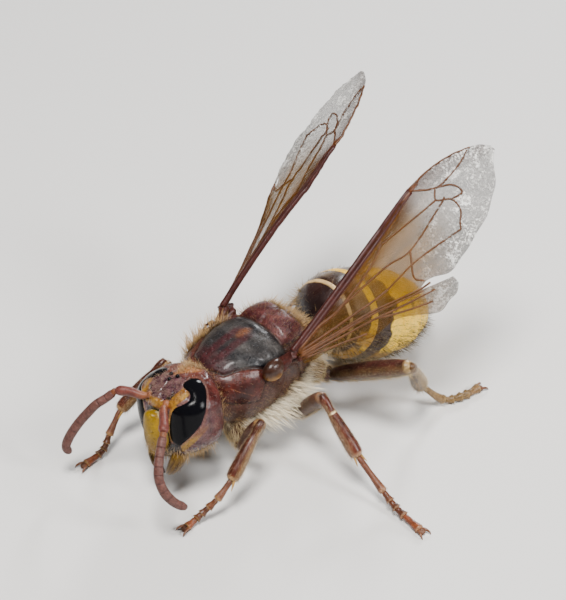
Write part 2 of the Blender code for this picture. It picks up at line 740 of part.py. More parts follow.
def make_wings():
    half_gap = GAP / 2
    fold_fore = [(u, v - half_gap) for u, v in FOLD_LINE] + list(REAR_EDGE[1:])
    fold_hind = [(u, v + half_gap) for u, v in FOLD_LINE[:-1]] + [(10.2, 3.45), (11.0, 3.75)]
    for name, first, second, (start, end, count), veins in (
        ("forewing", LEAD_EDGE, fold_fore, FORE_STATIONS, FORE_VEINS),
        ("hindwing", fold_hind, HIND_EDGE, HIND_STATIONS, HIND_VEINS),
    ):
        stations = [start + (end - start) * i / count for i in range(count + 1)]
        for side in (LEFT, RIGHT):
            plate = blade(side, first, second, stations)
            bars = [vein(side, veins[0], FIRST_VEIN)]
            for number, line in enumerate(veins[1:], 1):
                bars.append(vein(side, line, OTHER_VEINS - 0.05 * number))
            (u, v), inner = WING_STUB[name]
            outer = wing_point(side, u, v, 0.0)
            stub = tube([outer, outer.lerp(Vector(inner), 0.5), Vector(inner)], STUB_RADII)
            plate = combine(plate, [*bars, stub], "UNION")
            plate = combine(plate, [whole_thorax(GAP)], "DIFFERENCE")
            finish_node(side_name(name, side), mirrored(plate, side), "wing")


# Legs

def limb(points, radii, start_plane, end_plane):
    """A limb between two joints, cut there along the planes that the neighbours are cut along."""
    path = [Vector(p) for p in points]
    first = (path[1] - path[0]).normalized()
    last = (path[-1] - path[-2]).normalized()
    if start_plane is not None:
        path[0] = path[0] - first * radii[0] * 1.1
    if end_plane is not None:
        path[-1] = path[-1] + last * radii[-1] * 1.1
    made = tube(path, radii)
    if start_plane is not None:
        cut(made, Vector(points[0]) + start_plane * GAP / 2, -start_plane)
    if end_plane is not None:
        cut(made, Vector(points[-1]) - end_plane * GAP / 2, end_plane)
    return made


def straight(a, b, count):
    return [Vector(a).lerp(Vector(b), i / (count - 1)) for i in range(count)]


def make_foot(points, thick, start_plane):
    """Five joints of the foot, two claws and a small pad with a flat sole."""
    start, radius = points[0], [r * thick for r in FOOT_RADIUS]
    path, radii = [], []
    for first, last in zip(FOOT_JOINTS, FOOT_JOINTS[1:]):
        path += [path_point(points, first + (FOOT_STEP if first else 0)), path_point(points, last)]
        radii += radius
    way = (path[1] - path[0]).normalized()
    path[0] = path[0] - way * 0.3
    foot = tube(path, radii)
    tip = path[-1]
    ahead = (path[-1] - path[-2]).normalized()
    level = Vector((ahead.x, ahead.y, 0)).normalized()
    beside = Vector((-level.y, level.x, 0))
    pieces = []
    for side in (LEFT, RIGHT):
        root = tip - level * 0.10 + beside * CLAW_SPREAD[0] * side
        bend = tip + level * CLAW_LENGTH * 0.55 + beside * CLAW_SPREAD[1] * side
        end = tip + level * CLAW_LENGTH + beside * CLAW_SPREAD[2] * side
        bend.z = FLOOR + CLAW_HEIGHT[0]
        end.z = FLOOR + CLAW_HEIGHT[1]
        pieces.append(tube([root, bend, end], CLAW_RADII, 6))
    pad = bmesh.new()
    bmesh.ops.create_icosphere(pad, subdivisions=2, radius=SOLE_RADIUS)
    middle = tip + level * SOLE_AHEAD
    middle.z = FLOOR + SOLE_HEIGHT
    bmesh.ops.translate(pad, vec=middle, verts=pad.verts)
    pieces.append(pad)
    foot = combine(foot, pieces, "UNION")
    cut(foot, Vector(start) + start_plane * GAP / 2, -start_plane)
    cut(foot, (0, 0, FLOOR), (0, 0, -1))
    return largest_surface(foot)


def make_legs():
    for name, (hip, trochanter, knee, ankle, *foot) in LEGS.items():
        thick = THICKNESS[name.split("_")[1]]
        joints = [Vector(p) for p in (hip, trochanter, knee, ankle, foot[0])]
        ways = [(b - a).normalized() for a, b in zip(joints, joints[1:])]
        mitres = [(a + b).normalized() for a, b in zip(ways, ways[1:])]
        coxa = limb(straight(hip, trochanter, 3), [r * thick for r in COXA_RADII], None, mitres[0])
        coxa = combine(coxa, [whole_thorax(GAP)], "DIFFERENCE")
        finish_node(f"{name}_coxa", coxa, "coxa")
        thigh = limb(straight(trochanter, knee, 5), [r * thick for r in THIGH_RADII], mitres[0], mitres[1])
        finish_node(f"{name}_femur", thigh, "femur")
        shin = limb(straight(knee, ankle, 5), [r * thick for r in SHIN_RADII], mitres[1], mitres[2])
        finish_node(f"{name}_tibia", shin, "tibia")
        finish_node(f"{name}_tarsus", make_foot([ankle, *foot], thick, mitres[2]), "tarsus")


def set_down():
    """Scales every object to metres, with the middle of the whole at x = y = 0 and the soles at z = 0."""
    meshes = [made.data for made in bpy.data.objects]
    points = np.array([v.co for mesh in meshes for v in mesh.vertices])
    low, high = points.min(0), points.max(0)
    middle = Vector(((low[0] + high[0]) / 2, (low[1] + high[1]) / 2, FLOOR))
    for mesh in meshes:
        for vertex in mesh.vertices:
            vertex.co = (vertex.co - middle) * U


for old in list(bpy.data.objects):
    bpy.data.objects.remove(old)
make_thorax()
make_head()
make_tail()
make_wings()
make_legs()
set_down()
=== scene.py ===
"""Looks for the life-size european hornet: skins, plates, eyes, veined wings, jointed legs and coat.

Shapes are drawn in the small unit U, with the middle of the thorax near zero, the insect facing -Y, its left
side +X and up +Z, and are put into the frame in metres when each mesh is made.
"""
import math

import bpy
import numpy as np
from mathutils import Matrix, Vector


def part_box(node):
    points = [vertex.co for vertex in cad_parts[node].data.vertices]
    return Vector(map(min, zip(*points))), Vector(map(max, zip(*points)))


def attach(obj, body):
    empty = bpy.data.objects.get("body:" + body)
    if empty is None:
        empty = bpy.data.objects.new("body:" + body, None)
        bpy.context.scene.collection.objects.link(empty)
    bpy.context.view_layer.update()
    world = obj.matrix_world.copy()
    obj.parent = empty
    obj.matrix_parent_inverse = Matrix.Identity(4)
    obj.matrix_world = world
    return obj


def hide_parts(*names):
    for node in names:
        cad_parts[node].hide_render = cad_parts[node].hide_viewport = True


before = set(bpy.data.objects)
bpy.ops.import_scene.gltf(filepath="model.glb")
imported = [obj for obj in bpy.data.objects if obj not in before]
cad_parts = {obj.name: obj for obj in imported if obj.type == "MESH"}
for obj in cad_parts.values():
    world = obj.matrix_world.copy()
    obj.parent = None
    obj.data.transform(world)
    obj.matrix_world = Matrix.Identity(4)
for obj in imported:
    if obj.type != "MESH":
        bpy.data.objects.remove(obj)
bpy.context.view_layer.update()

U = 0.0278 / 25.1
FLOOR = -6.56
LEFT = 1
RIGHT = -1
SIDES = (LEFT, RIGHT)
thorax_low, thorax_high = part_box("thorax")
MIDDLE = np.array([
    -(thorax_low.x + thorax_high.x) / 2 / U,
    4.60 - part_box("propodeum")[1].y / U,
    FLOOR,
])

# Thorax stations: y, half width, top, bottom
THORAX = (
    (-5.45, 1.10, -0.65, -2.10),
    (-5.20, 1.65, -0.10, -2.65),
    (-4.70, 2.15, 0.60, -3.10),
    (-3.70, 2.70, 1.15, -3.60),
    (-2.50, 3.00, 1.48, -3.85),
    (-1.20, 3.05, 1.62, -3.95),
    (0.10, 2.95, 1.58, -3.90),
    (1.10, 2.75, 1.85, -3.75),
    (2.10, 2.50, 1.80, -3.45),
    (2.90, 2.20, 1.25, -3.05),
    (3.70, 1.75, 0.45, -2.55),
    (4.30, 1.20, -0.30, -2.05),
    (4.60, 0.70, -0.80, -1.70),
)

# Where the thorax is widest between belly and back, and how square its rings are
THORAX_BELLY = 0.48
THORAX_SQUARE = 2.4

# Head stations, from the chin up: z, half width, front, back
HEAD = (
    (-3.80, 1.17, -8.75, -6.86),
    (-3.45, 1.82, -8.95, -6.36),
    (-2.80, 2.53, -9.05, -5.86),
    (-1.90, 2.98, -9.05, -5.56),
    (-0.90, 3.08, -9.00, -5.47),
    (0.00, 2.96, -8.90, -5.31),
    (0.52, 2.49, -8.63, -5.13),
    (0.89, 2.00, -8.15, -5.09),
    (1.13, 1.47, -7.60, -5.24),
    (1.26, 0.77, -7.10, -5.54),
)

# Pitch, roll and yaw of the head in radians, how far it is moved, where it is widest and how square it is
HEAD_TURN = (0.09, 0.22, 0.05)
HEAD_MOVE = (0.14, 0.09, -0.09)
HEAD_WIDEST = -6.45
HEAD_SQUARE = 2.3

# Tail stations, from the waist back: y, z, half width, half height
TAIL = (
    (4.86, -1.28, 0.42, 0.40),
    (5.02, -1.22, 1.05, 0.95),
    (5.30, -1.08, 1.70, 1.52),
    (5.70, -0.90, 2.22, 1.98),
    (6.15, -0.80, 2.52, 2.25),
    (6.80, -1.08, 2.92, 2.62),
    (7.70, -1.58, 3.25, 2.90),
    (8.70, -2.12, 3.40, 3.05),
    (9.80, -2.68, 3.38, 3.05),
    (10.80, -3.12, 3.36, 2.98),
    (12.00, -3.60, 3.12, 2.70),
    (13.20, -4.02, 2.62, 2.28),
    (14.20, -4.36, 1.98, 1.72),
    (15.05, -4.64, 1.20, 1.05),
    (15.60, -4.84, 0.35, 0.32),
)

# Slope of the tail's axis at some y, and the stations where its rings meet
TAIL_SLOPE = ((4.8, 0.10), (6.15, -0.28), (7.7, -0.52), (9.8, -0.50), (12.0, -0.40), (15.6, -0.32))
TAIL_SEAMS = (0.0, 4.0, 5.9, 8.4, 10.2, 11.8, 14.0)

# Wings: a frame for each at its root, as if both were the left one, and edges as (along, across) in it
# The camber bends the whole wing, the twist fades out at TWIST_END, and the part behind the fold line droops
WING_ROOT = (3.38, -0.30, 0.87)
WING_ALONG = {LEFT: (0.1368, 0.8290, 0.5423), RIGHT: (0.0956, 0.7942, 0.6001)}
WING_UP = {LEFT: (0.4169, -0.5447, 0.7276), RIGHT: (0.4454, -0.5732, 0.6877)}
WING_TWIST = {LEFT: 0.0, RIGHT: 0.42}
TWIST_END = 11.0
WING_CAMBER = 0.012
REAR_DROOP = 0.52
LEAD_EDGE = (
    (0.5, -0.42), (1.8, -0.52), (5.4, -1.0), (8.8, -1.52), (11.0, -1.85), (13.1, -2.14),
    (14.4, -2.14), (15.5, -2.0), (16.7, -1.68), (17.75, -1.2), (18.4, -0.7), (18.74, -0.2),
)
FOLD_LINE = ((0.5, 0.2), (2.8, 0.8), (5.6, 1.6), (7.4, 2.3), (8.9, 2.9), (10.3, 3.2))
REAR_EDGE = (
    (10.5, 3.1), (11.45, 3.38), (12.95, 3.31), (14.6, 2.99), (16.2, 2.3), (17.2, 1.67),
    (18.1, 0.6), (18.74, 0.1),
)
HIND_EDGE = (
    (0.5, 0.80), (2.1, 1.35), (3.3, 1.88), (4.7, 2.68), (6.6, 3.05), (8.15, 4.08), (8.7, 4.43),
    (9.5, 4.74), (10.4, 4.68), (11.0, 4.10),
)

# Legs: hip inside the thorax, end of the trochanter, knee, end of the shin, then along the foot
LEGS = {
    ("fore", LEFT): (
        (1.30, -3.30, -3.00), (2.55, -3.85, -4.90), (4.41, -3.87, -1.60), (4.92, -6.86, -4.10),
        (4.88, -8.04, -5.00), (4.47, -9.13, -5.95), (4.40, -10.27, -6.34),
    ),
    ("fore", RIGHT): (
        (-1.30, -3.30, -3.00), (-2.55, -3.95, -4.90), (-4.41, -4.20, -1.60), (-4.98, -7.55, -4.00),
        (-4.70, -8.80, -5.20), (-4.49, -9.60, -6.00), (-4.52, -11.03, -6.34),
    ),
    ("mid", LEFT): (
        (1.40, 0.50, -3.00), (2.80, 1.00, -4.70), (5.81, 0.19, -1.00), (8.98, 0.17, -3.85),
        (11.24, 0.19, -5.35), (12.63, 0.13, -6.02), (14.70, 0.03, -6.34),
    ),
    ("mid", RIGHT): (
        (-1.40, 0.50, -3.00), (-2.80, 1.00, -4.70), (-5.30, 1.50, -2.30), (-6.90, 1.90, -4.90),
        (-7.30, 3.20, -6.00), (-7.40, 4.30, -6.25), (-7.50, 5.60, -6.34),
    ),
    ("hind", LEFT): (
        (1.40, 2.70, -2.30), (2.70, 3.90, -3.10), (8.40, 5.60, -0.05), (6.75, 8.45, -4.20),
        (7.30, 10.10, -6.05), (7.84, 11.40, -6.25), (7.97, 12.94, -6.34),
    ),
    ("hind", RIGHT): (
        (-1.40, 2.70, -2.30), (-2.70, 3.90, -3.10), (-4.70, 9.10, -3.60), (-5.60, 12.90, -5.60),
        (-5.60, 14.00, -6.20), (-5.45, 15.20, -6.30), (-5.25, 16.60, -6.34),
    ),
}

# Thickness of each pair, and where the joints of a foot end, as shares of its length
THICKNESS = {"fore": 0.92, "mid": 0.95, "hind": 1.05}
FOOT_JOINTS = (0.0, 0.36, 0.52, 0.66, 0.78, 1.0)

# Feelers: the long first part, then the whip from its elbow to its tip
SCAPES = {
    LEFT: ((0.66, -8.30, 0.45), (1.02, -8.95, 0.38), (1.80, -9.60, 0.33), (2.50, -10.25, 0.28)),
    RIGHT: ((-0.72, -8.35, 0.25), (-1.25, -8.80, 0.15), (-1.95, -9.15, 0.25), (-2.70, -9.65, 0.16)),
}
FEELERS = {
    LEFT: (
        (2.50, -10.25, 0.28), (3.00, -10.95, -0.34), (3.50, -11.59, -0.98), (3.90, -11.92, -1.66),
        (4.30, -11.86, -2.51), (4.60, -11.36, -3.43), (4.90, -10.72, -4.05),
    ),
    RIGHT: (
        (-2.70, -9.65, 0.16), (-3.00, -10.14, -0.31), (-3.35, -10.78, -0.73), (-3.75, -11.29, -1.48),
        (-4.10, -11.74, -2.23), (-4.45, -12.22, -3.23), (-4.60, -12.44, -4.02), (-4.60, -12.20, -4.62),
    ),
}

# Eye and clypeus, as directions from SKULL_CENTRE: degrees round from the face, degrees up
SKULL_CENTRE = (0.0, -6.9, -1.0)
EYE_INNER = (
    (103, 64), (72, 63), (63, 54), (69, 43), (65, 34), (52, 29), (38, 24), (31, 10), (27, -10),
    (28, -26), (40, -33),
)
EYE_OUTER = (
    (103, 64), (112, 56), (106, 47), (100, 39), (93, 31), (86, 23), (80, 13), (74, 0), (64, -11),
    (52, -23), (40, -33),
)
CLYPEUS = ((18, 3), (16, 11), (11, 16), (-2, 19), (-12, 21), (-20, 23), (-30, 23), (-37, 17), (-41, 3))

# A jaw from root to tip with its radii, and the middle and half sizes of each tegula
MANDIBLE = (
    (1.12, -8.25, -3.10), (1.06, -8.55, -3.65), (0.82, -8.75, -4.20), (0.50, -8.85, -4.62),
    (0.18, -8.80, -4.92),
)
MANDIBLE_RADII = (0.50, 0.58, 0.52, 0.36, 0.12)
TEGULA = {LEFT: (3.00, -1.36, 0.46), RIGHT: (2.82, -1.36, 0.46)}
TEGULA_SIZE = {LEFT: (0.54, 0.88, 0.74), RIGHT: (0.40, 0.80, 0.62)}


# Curves and fields

def metres(points):
    """Drawing units to the frame, in metres."""
    return (np.asarray(points, float) - MIDDLE) * U


def along(keys, t):
    """Values at every t of a smooth curve through keys, which are rows of t and one or more values."""
    table = np.asarray(keys, float)
    x, y = table[:, 0], table[:, 1:]
    slope = np.gradient(y, x, axis=0)
    t = np.clip(np.atleast_1d(np.asarray(t, float)), x[0], x[-1])
    i = np.clip(np.searchsorted(x, t, side="right") - 1, 0, len(x) - 2)
    h = (x[i + 1] - x[i])[:, None]
    s = ((t - x[i]) / (x[i + 1] - x[i]))[:, None]
    return (
        y[i] * (1 + 2 * s) * (1 - s) ** 2
        + y[i + 1] * s * s * (3 - 2 * s)
        + slope[i] * h * s * (1 - s) ** 2
        + slope[i + 1] * h * s * s * (s - 1)
    )


def path_points(points, shares):
    """Points at shares of the way along a smooth path, with its points counted as evenly spaced."""
    rows = [(i / (len(points) - 1), *p) for i, p in enumerate(points)]
    return along(rows, shares)


def smooth(low, high, value):
    """0 below low, 1 above high, and an easy rise between."""
    t = np.clip((np.asarray(value, float) - low) / (high - low), 0, 1)
    return t * t * (3 - 2 * t)


def band(value, middle, half, soft):
    """1 within half of the middle, falling to 0 over soft."""
    return 1 - smooth(half, half + soft, np.abs(np.asarray(value, float) - middle))


# How many waves a random field is made of
RIPPLE_WAVES = 7


def ripple(points, size, seed):
    """A smooth random field over points, about -1 to 1, with features of that size."""
    rng = np.random.default_rng(seed)
    points = np.asarray(points, float)
    total = np.zeros(points.shape[:-1])
    for _ in range(RIPPLE_WAVES):
        way = rng.normal(size=3)
        way *= rng.uniform(0.7, 1.4) * 2 * math.pi / size / np.linalg.norm(way)
        total += np.sin(points @ way + rng.uniform(0, 2 * math.pi))
    return total / math.sqrt(RIPPLE_WAVES)


def mix(first, second, share):
    """Colours between first and second by share."""
    share = np.asarray(share, float)[..., None]
    return np.asarray(first, float) * (1 - share) + np.asarray(second, float) * share


def unit(vectors):
    """The same directions at length 1."""
    return vectors / np.maximum(np.linalg.norm(vectors, axis=-1, keepdims=True), 1e-9)


def rounded(angles, power):
    """Cosine and sine of angles, pushed outwards towards a rounded square."""
    c, s = np.cos(angles), np.sin(angles)
    return np.sign(c) * np.abs(c) ** (2 / power), np.sign(s) * np.abs(s) ** (2 / power)


# Meshes

def make_object(name, points, faces, uvs):
    """A smooth mesh object from points in drawing units, with its unwrap."""
    mesh = bpy.data.meshes.new(name)
    mesh.from_pydata(metres(points).tolist(), [], faces)
    mesh.update()
    layer = mesh.uv_layers.new(name="UVMap")
    corners = np.zeros(len(mesh.loops), np.int32)
    mesh.loops.foreach_get("vertex_index", corners)
    layer.data.foreach_set("uv", np.asarray(uvs, np.float32)[corners].ravel())
    mesh.shade_smooth()
    made = bpy.data.objects.new(name, mesh)
    bpy.context.scene.collection.objects.link(made)
    return made


def signed_volume(points, faces):
    """A measure that is below 0 where the faces look inwards."""
    total = 0.0
    for face in faces:
        a = points[face[0]]
        for j, k in zip(face[1:], face[2:]):
            total += float(np.dot(a, np.cross(points[j], points[k])))
    return total


def tube_faces(rows, columns):
    """Faces of rings joined in turn and closed at both ends, for ring points first and the two poles last."""
    faces = []
    for r in range(rows - 1):
        for c in range(columns):
            d = (c + 1) % columns
            a = r * columns
            faces.append((a + c, a + d, a + columns + d, a + columns + c))
    first = rows * columns
    last = first + 1
    end = (rows - 1) * columns
    for c in range(columns):
        d = (c + 1) % columns
        faces.append((first, d, c))
        faces.append((last, end + c, end + d))
    return faces


def closed(rings):
    """Points and faces of a closed surface through rings, an array of (rows, columns, 3)."""
    rows, columns, _ = rings.shape
    points = np.concatenate([rings.reshape(-1, 3), rings[0].mean(0)[None], rings[-1].mean(0)[None]])
    faces = tube_faces(rows, columns)
    middle = points.mean(0)
    # Some of the side faces and all end faces are enough to tell which way they look
    some = faces[: columns * (rows - 1) : 7] + faces[-2 * columns :]
    if signed_volume(points - middle, some) < 0:
        faces = [face[::-1] for face in faces]
    return points, faces


def grid_uvs(rows, columns):
    """A place on an unwrap for each point of closed(): round the ring, then along."""
    v, u = np.meshgrid(np.linspace(0.02, 0.98, rows), (np.arange(columns) + 0.5) / columns, indexing="ij")
    flat = np.stack([u, v], -1).reshape(-1, 2)
    return np.concatenate([flat, [[0.5, 0.01], [0.5, 0.99]]])


# How many numbers each hair value takes: weight, bristle weight, length, lie, colour
HAIR_WIDTHS = (1, 1, 1, 3, 3)


class Heap:
    """Collects closed surfaces that are shown as one object, with their paint and what their hair needs."""

    def __init__(self):
        """Starts empty."""
        self.points, self.faces, self.paint, self.uvs, self.hair = [], [], [], [], []
        self.count = 0

    def add(self, rings, paint, hair=None):
        """Adds a surface through rings, with (weight, bristle weight, length, lie, tint) for its hair."""
        points, faces = closed(rings)
        self.points.append(points)
        self.faces += [tuple(i + self.count for i in face) for face in faces]
        colours = np.broadcast_to(np.asarray(paint, float), (*rings.shape[:2], 4)).reshape(-1, 4)
        self.paint.append(np.concatenate([colours, colours[:1], colours[-1:]]))
        self.uvs.append(grid_uvs(*rings.shape[:2]))
        values = np.zeros((*rings.shape[:2], sum(HAIR_WIDTHS)))
        if hair is not None:
            at = 0
            for part, width in zip(hair, HAIR_WIDTHS):
                part = np.asarray(part, float)
                if width == 1:
                    part = np.broadcast_to(part, rings.shape[:2])[..., None]
                values[..., at : at + width] = part
                at += width
        flat = values.reshape(-1, sum(HAIR_WIDTHS))
        self.hair.append(np.concatenate([flat, flat[:1], flat[-1:]]))
        self.count += len(points)

    def make(self, name, material):
        """One object from all that was added."""
        made = make_object(name, np.concatenate(self.points), self.faces, np.concatenate(self.uvs))
        set_paint(made, np.concatenate(self.paint))
        hair = np.concatenate(self.hair)
        if hair[:, :2].any():
            set_values(made, "hair_weight", hair[:, 0])
            set_values(made, "bristle_weight", hair[:, 1])
            set_values(made, "hair_length", hair[:, 2] * U)
            set_values(made, "lie", hair[:, 3:6])
            set_values(made, "hair_paint", hair[:, 6:9])
        made.data.materials.append(material)
        return made


def set_paint(made, colours):
    """Stores a colour, with roughness as its fourth value, at each point."""
    layer = made.data.color_attributes.new("paint", "FLOAT_COLOR", "POINT")
    layer.data.foreach_set("color", np.asarray(colours, np.float32).ravel())


def with_roughness(colours, rough):
    """Colours with one roughness as their fourth value."""
    return np.concatenate([colours, np.full((*colours.shape[:-1], 1), rough)], -1)


def set_values(made, name, values):
    """Stores a number or a vector at each point."""
    values = np.asarray(values, np.float32)
    kind = "FLOAT_VECTOR" if values.ndim == 2 else "FLOAT"
    layer = made.data.attributes.new(name, kind, "POINT")
    layer.data.foreach_set("vector" if values.ndim == 2 else "value", values.ravel())


def around(colours, columns):
    """Colours along a limb, the same all the way round it."""
    return colours[:, None] * np.ones((1, columns, 1))


def side_name(name, side):
    """A name with the side that it is on."""
    return f"{name}_{'left' if side == LEFT else 'right'}"


def show(made, slot, *nodes):
    """Rides a finished piece on the body and takes the place of its solids; slot is not used."""
    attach(made, "root")
    if nodes:
        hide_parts(*nodes)
    return made


def frames_along(path):
    """Directions on, beside and over along a path, without a twist."""
    way = unit(np.gradient(path, axis=0))
    side = np.zeros_like(path)
    up = np.zeros_like(path)
    last = np.cross(way[0], (0.0, 0.0, 1.0))
    if np.linalg.norm(last) < 0.1:
        last = np.cross(way[0], (1.0, 0.0, 0.0))
    for i in range(len(path)):
        last = unit(last - way[i] * np.dot(last, way[i]))
        side[i] = last
        up[i] = np.cross(last, way[i])
    return way, side, up


def tube_rings(path, radii, columns, flat=1.0, over=1.0):
    """Rings round a path, narrowed beside by flat and over by over."""
    path = np.asarray(path, float)
    _, side, up = frames_along(path)
    angles = 2 * math.pi * (np.arange(columns) + 0.5) / columns
    c, s = np.cos(angles), np.sin(angles)
    radii = np.asarray(radii, float)[:, None, None]
    return path[:, None] + radii * (
        side[:, None] * (c * flat)[None, :, None] + up[:, None] * (s * over)[None, :, None]
    )


def grown_normals(rings):
    """Outward normals of a ring grid."""
    down = np.gradient(rings, axis=0)
    round_by = (np.roll(rings, -1, axis=1) - np.roll(rings, 1, axis=1)) / 2
    normals = unit(np.cross(round_by, down))
    outward = rings - rings.mean(1, keepdims=True)
    if np.sum(normals * outward) < 0:
        normals = -normals
    return normals


# Materials

def new_material(name):
    """A new material with its node tree and its shader."""
    material = bpy.data.materials.new(name)
    material.use_nodes = True
    tree = material.node_tree
    return material, tree, tree.nodes["Principled BSDF"]


def feed(tree, value, into):
    """Links an output into an input, or gives the input a plain value."""
    if isinstance(value, bpy.types.NodeSocket):
        tree.links.new(value, into)
    else:
        into.default_value = value


def feed_all(tree, node, values):
    """Links or sets several inputs of a node."""
    for key, value in values.items():
        feed(tree, value, node.inputs[key])


def stored(tree, name):
    """The outputs of a value that is stored on the mesh."""
    node = tree.nodes.new("ShaderNodeAttribute")
    node.attribute_name = name
    return node.outputs


def texture(tree, kind, scale, **settings):
    """A texture on Object coordinates, with its scale in features per millimetre or so."""
    node = tree.nodes.new(kind)
    place = tree.nodes.new("ShaderNodeTexCoord")
    feed_all(tree, node, {"Vector": place.outputs["Object"], "Scale": scale * 1000, **settings})
    return node


def ramp(tree, value, stops):
    """A value taken through stops of (place, shade)."""
    node = tree.nodes.new("ShaderNodeValToRGB")
    tree.links.new(value, node.inputs["Fac"])
    for i, (place, shade) in enumerate(stops):
        element = node.color_ramp.elements[i] if i < 2 else node.color_ramp.elements.new(place)
        element.position = place
        element.color = (shade, shade, shade, 1.0)
    return node.outputs["Color"]


def blend(tree, first, second, share=1.0, kind="MULTIPLY"):
    """Two colours joined, each an output or a plain value."""
    node = tree.nodes.new("ShaderNodeMixRGB")
    node.blend_type = kind
    feed_all(tree, node, {"Fac": share, "Color1": first, "Color2": second})
    return node.outputs["Color"]


def maths(tree, operation, *values, clamp=False):
    """The result of one sum of outputs and plain values."""
    node = tree.nodes.new("ShaderNodeMath")
    node.operation = operation
    node.use_clamp = clamp
    feed_all(tree, node, dict(enumerate(values)))
    return node.outputs["Value"]


def bump(tree, height, depth, after=None):
    """A bump from a height from 0 to 1, with its depth in millimetres."""
    node = tree.nodes.new("ShaderNodeBump")
    feed_all(tree, node, {"Strength": 1.0, "Distance": depth / 1000, "Height": height})
    if after is not None:
        tree.links.new(after, node.inputs["Normal"])
    return node.outputs["Normal"]


# How much painted shade darkens a pit against the shell round it
PIT_SHADE = 0.15


def chitin(name, pits, pit_depth, grain, coat, fine, fleck):
    """Shell with its colour and roughness from the paint, small pits darkened with painted shade, and fine
    uneven colour.
    """
    material, tree, shader = new_material(name)
    paint = stored(tree, "paint")
    blotch = texture(tree, "ShaderNodeTexNoise", 1.6, Detail=5.0, Roughness=0.6).outputs["Fac"]
    speck = texture(tree, "ShaderNodeTexNoise", 6.0, Detail=4.0, Roughness=0.7).outputs["Fac"]
    cells = texture(tree, "ShaderNodeTexVoronoi", pits).outputs["Distance"]
    holes = ramp(tree, cells, ((0.05, 0.0), (0.32, 1.0)))
    shade = blend(tree, paint["Color"], ramp(tree, blotch, ((0.3, 1 - grain), (0.7, 1 + grain))))
    shade = blend(tree, shade, ramp(tree, speck, ((0.36, 1 - fleck), (0.64, 1 + fleck))))
    feed_all(tree, shader, {
        # Painted shade in the pits
        "Base Color": blend(tree, shade, holes, PIT_SHADE),
        "Roughness": paint["Alpha"],
        "Normal": bump(tree, speck, fine, bump(tree, holes, pit_depth)),
        "Specular IOR Level": 0.24,
        "Coat Weight": coat,
        "Coat Roughness": 0.20,
    })
    return material


def eye_material():
    """Black glassy eye with fine facets."""
    material, tree, shader = new_material("eye")
    facets = texture(tree, "ShaderNodeTexVoronoi", 26.0, Randomness=0.25).outputs["Distance"]
    feed_all(tree, shader, {
        "Base Color": (0.003, 0.003, 0.004, 1.0),
        "Roughness": 0.12,
        "Normal": bump(tree, facets, 0.003),
        "Specular IOR Level": 0.07,
        "Coat Weight": 0.03,
        "Coat Roughness": 0.08,
    })
    return material


def hair_material(name, stops):
    """Hair in the colour stored on it, with its shade from root to tip given by stops."""
    material, tree, shader = new_material(name)
    paint = stored(tree, "hair_paint")["Color"]
    split = tree.nodes.new("ShaderNodeSeparateXYZ")
    tree.links.new(stored(tree, "local")["Vector"], split.inputs[0])
    feed_all(tree, shader, {
        "Base Color": blend(tree, paint, ramp(tree, split.outputs["Z"], stops)),
        "Roughness": 0.38,
        "Specular IOR Level": 0.4,
    })
    return material


# Noises of the film, in turn crumples, glints and patches, the glints and patches also placing the painted
# glints: scale, detail, roughness, distortion
FILM_NOISES = ((1.6, 9.0, 0.66, 0.8), (5.5, 3.0, 0.7, 0.4), (0.75, 3.0, 0.6, 0.8))
# Painted glints: the white put on the outer film where its glint and patch noises are high, and how much more
# cover it gives there
PAINTED_GLINT_WHITE = (0.95, 0.94, 0.90, 1.0)
PAINTED_GLINT_COVER = 0.42

# Streaks round and along the film's unwrap
PLEATS = (34.0, 3.0, 1.0)


def film_streaks(tree):
    """Streaks along the wing, drawn on its unwrap."""
    place = tree.nodes.new("ShaderNodeUVMap")
    pleat = tree.nodes.new("ShaderNodeMapping")
    feed_all(tree, pleat, {"Scale": PLEATS, "Vector": place.outputs["UV"]})
    streaks = tree.nodes.new("ShaderNodeTexNoise")
    feed_all(tree, streaks, {"Scale": 1.0, "Detail": 4.0, "Vector": pleat.outputs["Vector"]})
    return streaks.outputs["Fac"]


def film_material():
    """Thin film with its colour and cover from the paint, creased, with painted shade and highlight along its
    streaks and painted white glints in its outer part.
    """
    material, tree, shader = new_material("wing_film")
    paint = stored(tree, "paint")
    crumple, glint, patches = (
        texture(
            tree, "ShaderNodeTexNoise", scale, Detail=detail, Roughness=rough, Distortion=distortion,
        ).outputs["Fac"]
        for scale, detail, rough, distortion in FILM_NOISES
    )
    streaks = film_streaks(tree)
    sparkle = maths(
        tree, "MULTIPLY_ADD",
        ramp(tree, glint, ((0.47, 0.0), (0.58, 1.0))),
        ramp(tree, patches, ((0.38, 0.25), (0.56, 1.0))),
        ramp(tree, patches, ((0.55, 0.0), (0.64, 0.80))),
        clamp=True,
    )
    # Painted glints: white flecks in the outer part only
    painted_glints = maths(tree, "MULTIPLY", sparkle, stored(tree, "outer")["Fac"])
    shade = blend(tree, paint["Color"], PAINTED_GLINT_WHITE, painted_glints, "MIX")
    creases = bump(tree, streaks, 0.06, bump(tree, crumple, 0.16))
    feed_all(tree, shader, {
        # Painted shade and highlight along the streaks: the colour is darkened in the creases and lightened
        # on the pleats
        "Base Color": blend(tree, shade, ramp(tree, streaks, ((0.35, 0.55), (0.62, 1.2)))),
        "Alpha": maths(tree, "MULTIPLY_ADD", painted_glints, PAINTED_GLINT_COVER, paint["Alpha"]),
        "Roughness": 0.16,
        "Specular IOR Level": 0.14,
        "Normal": bump(tree, glint, 0.12, creases),
    })
    return material


# Hair

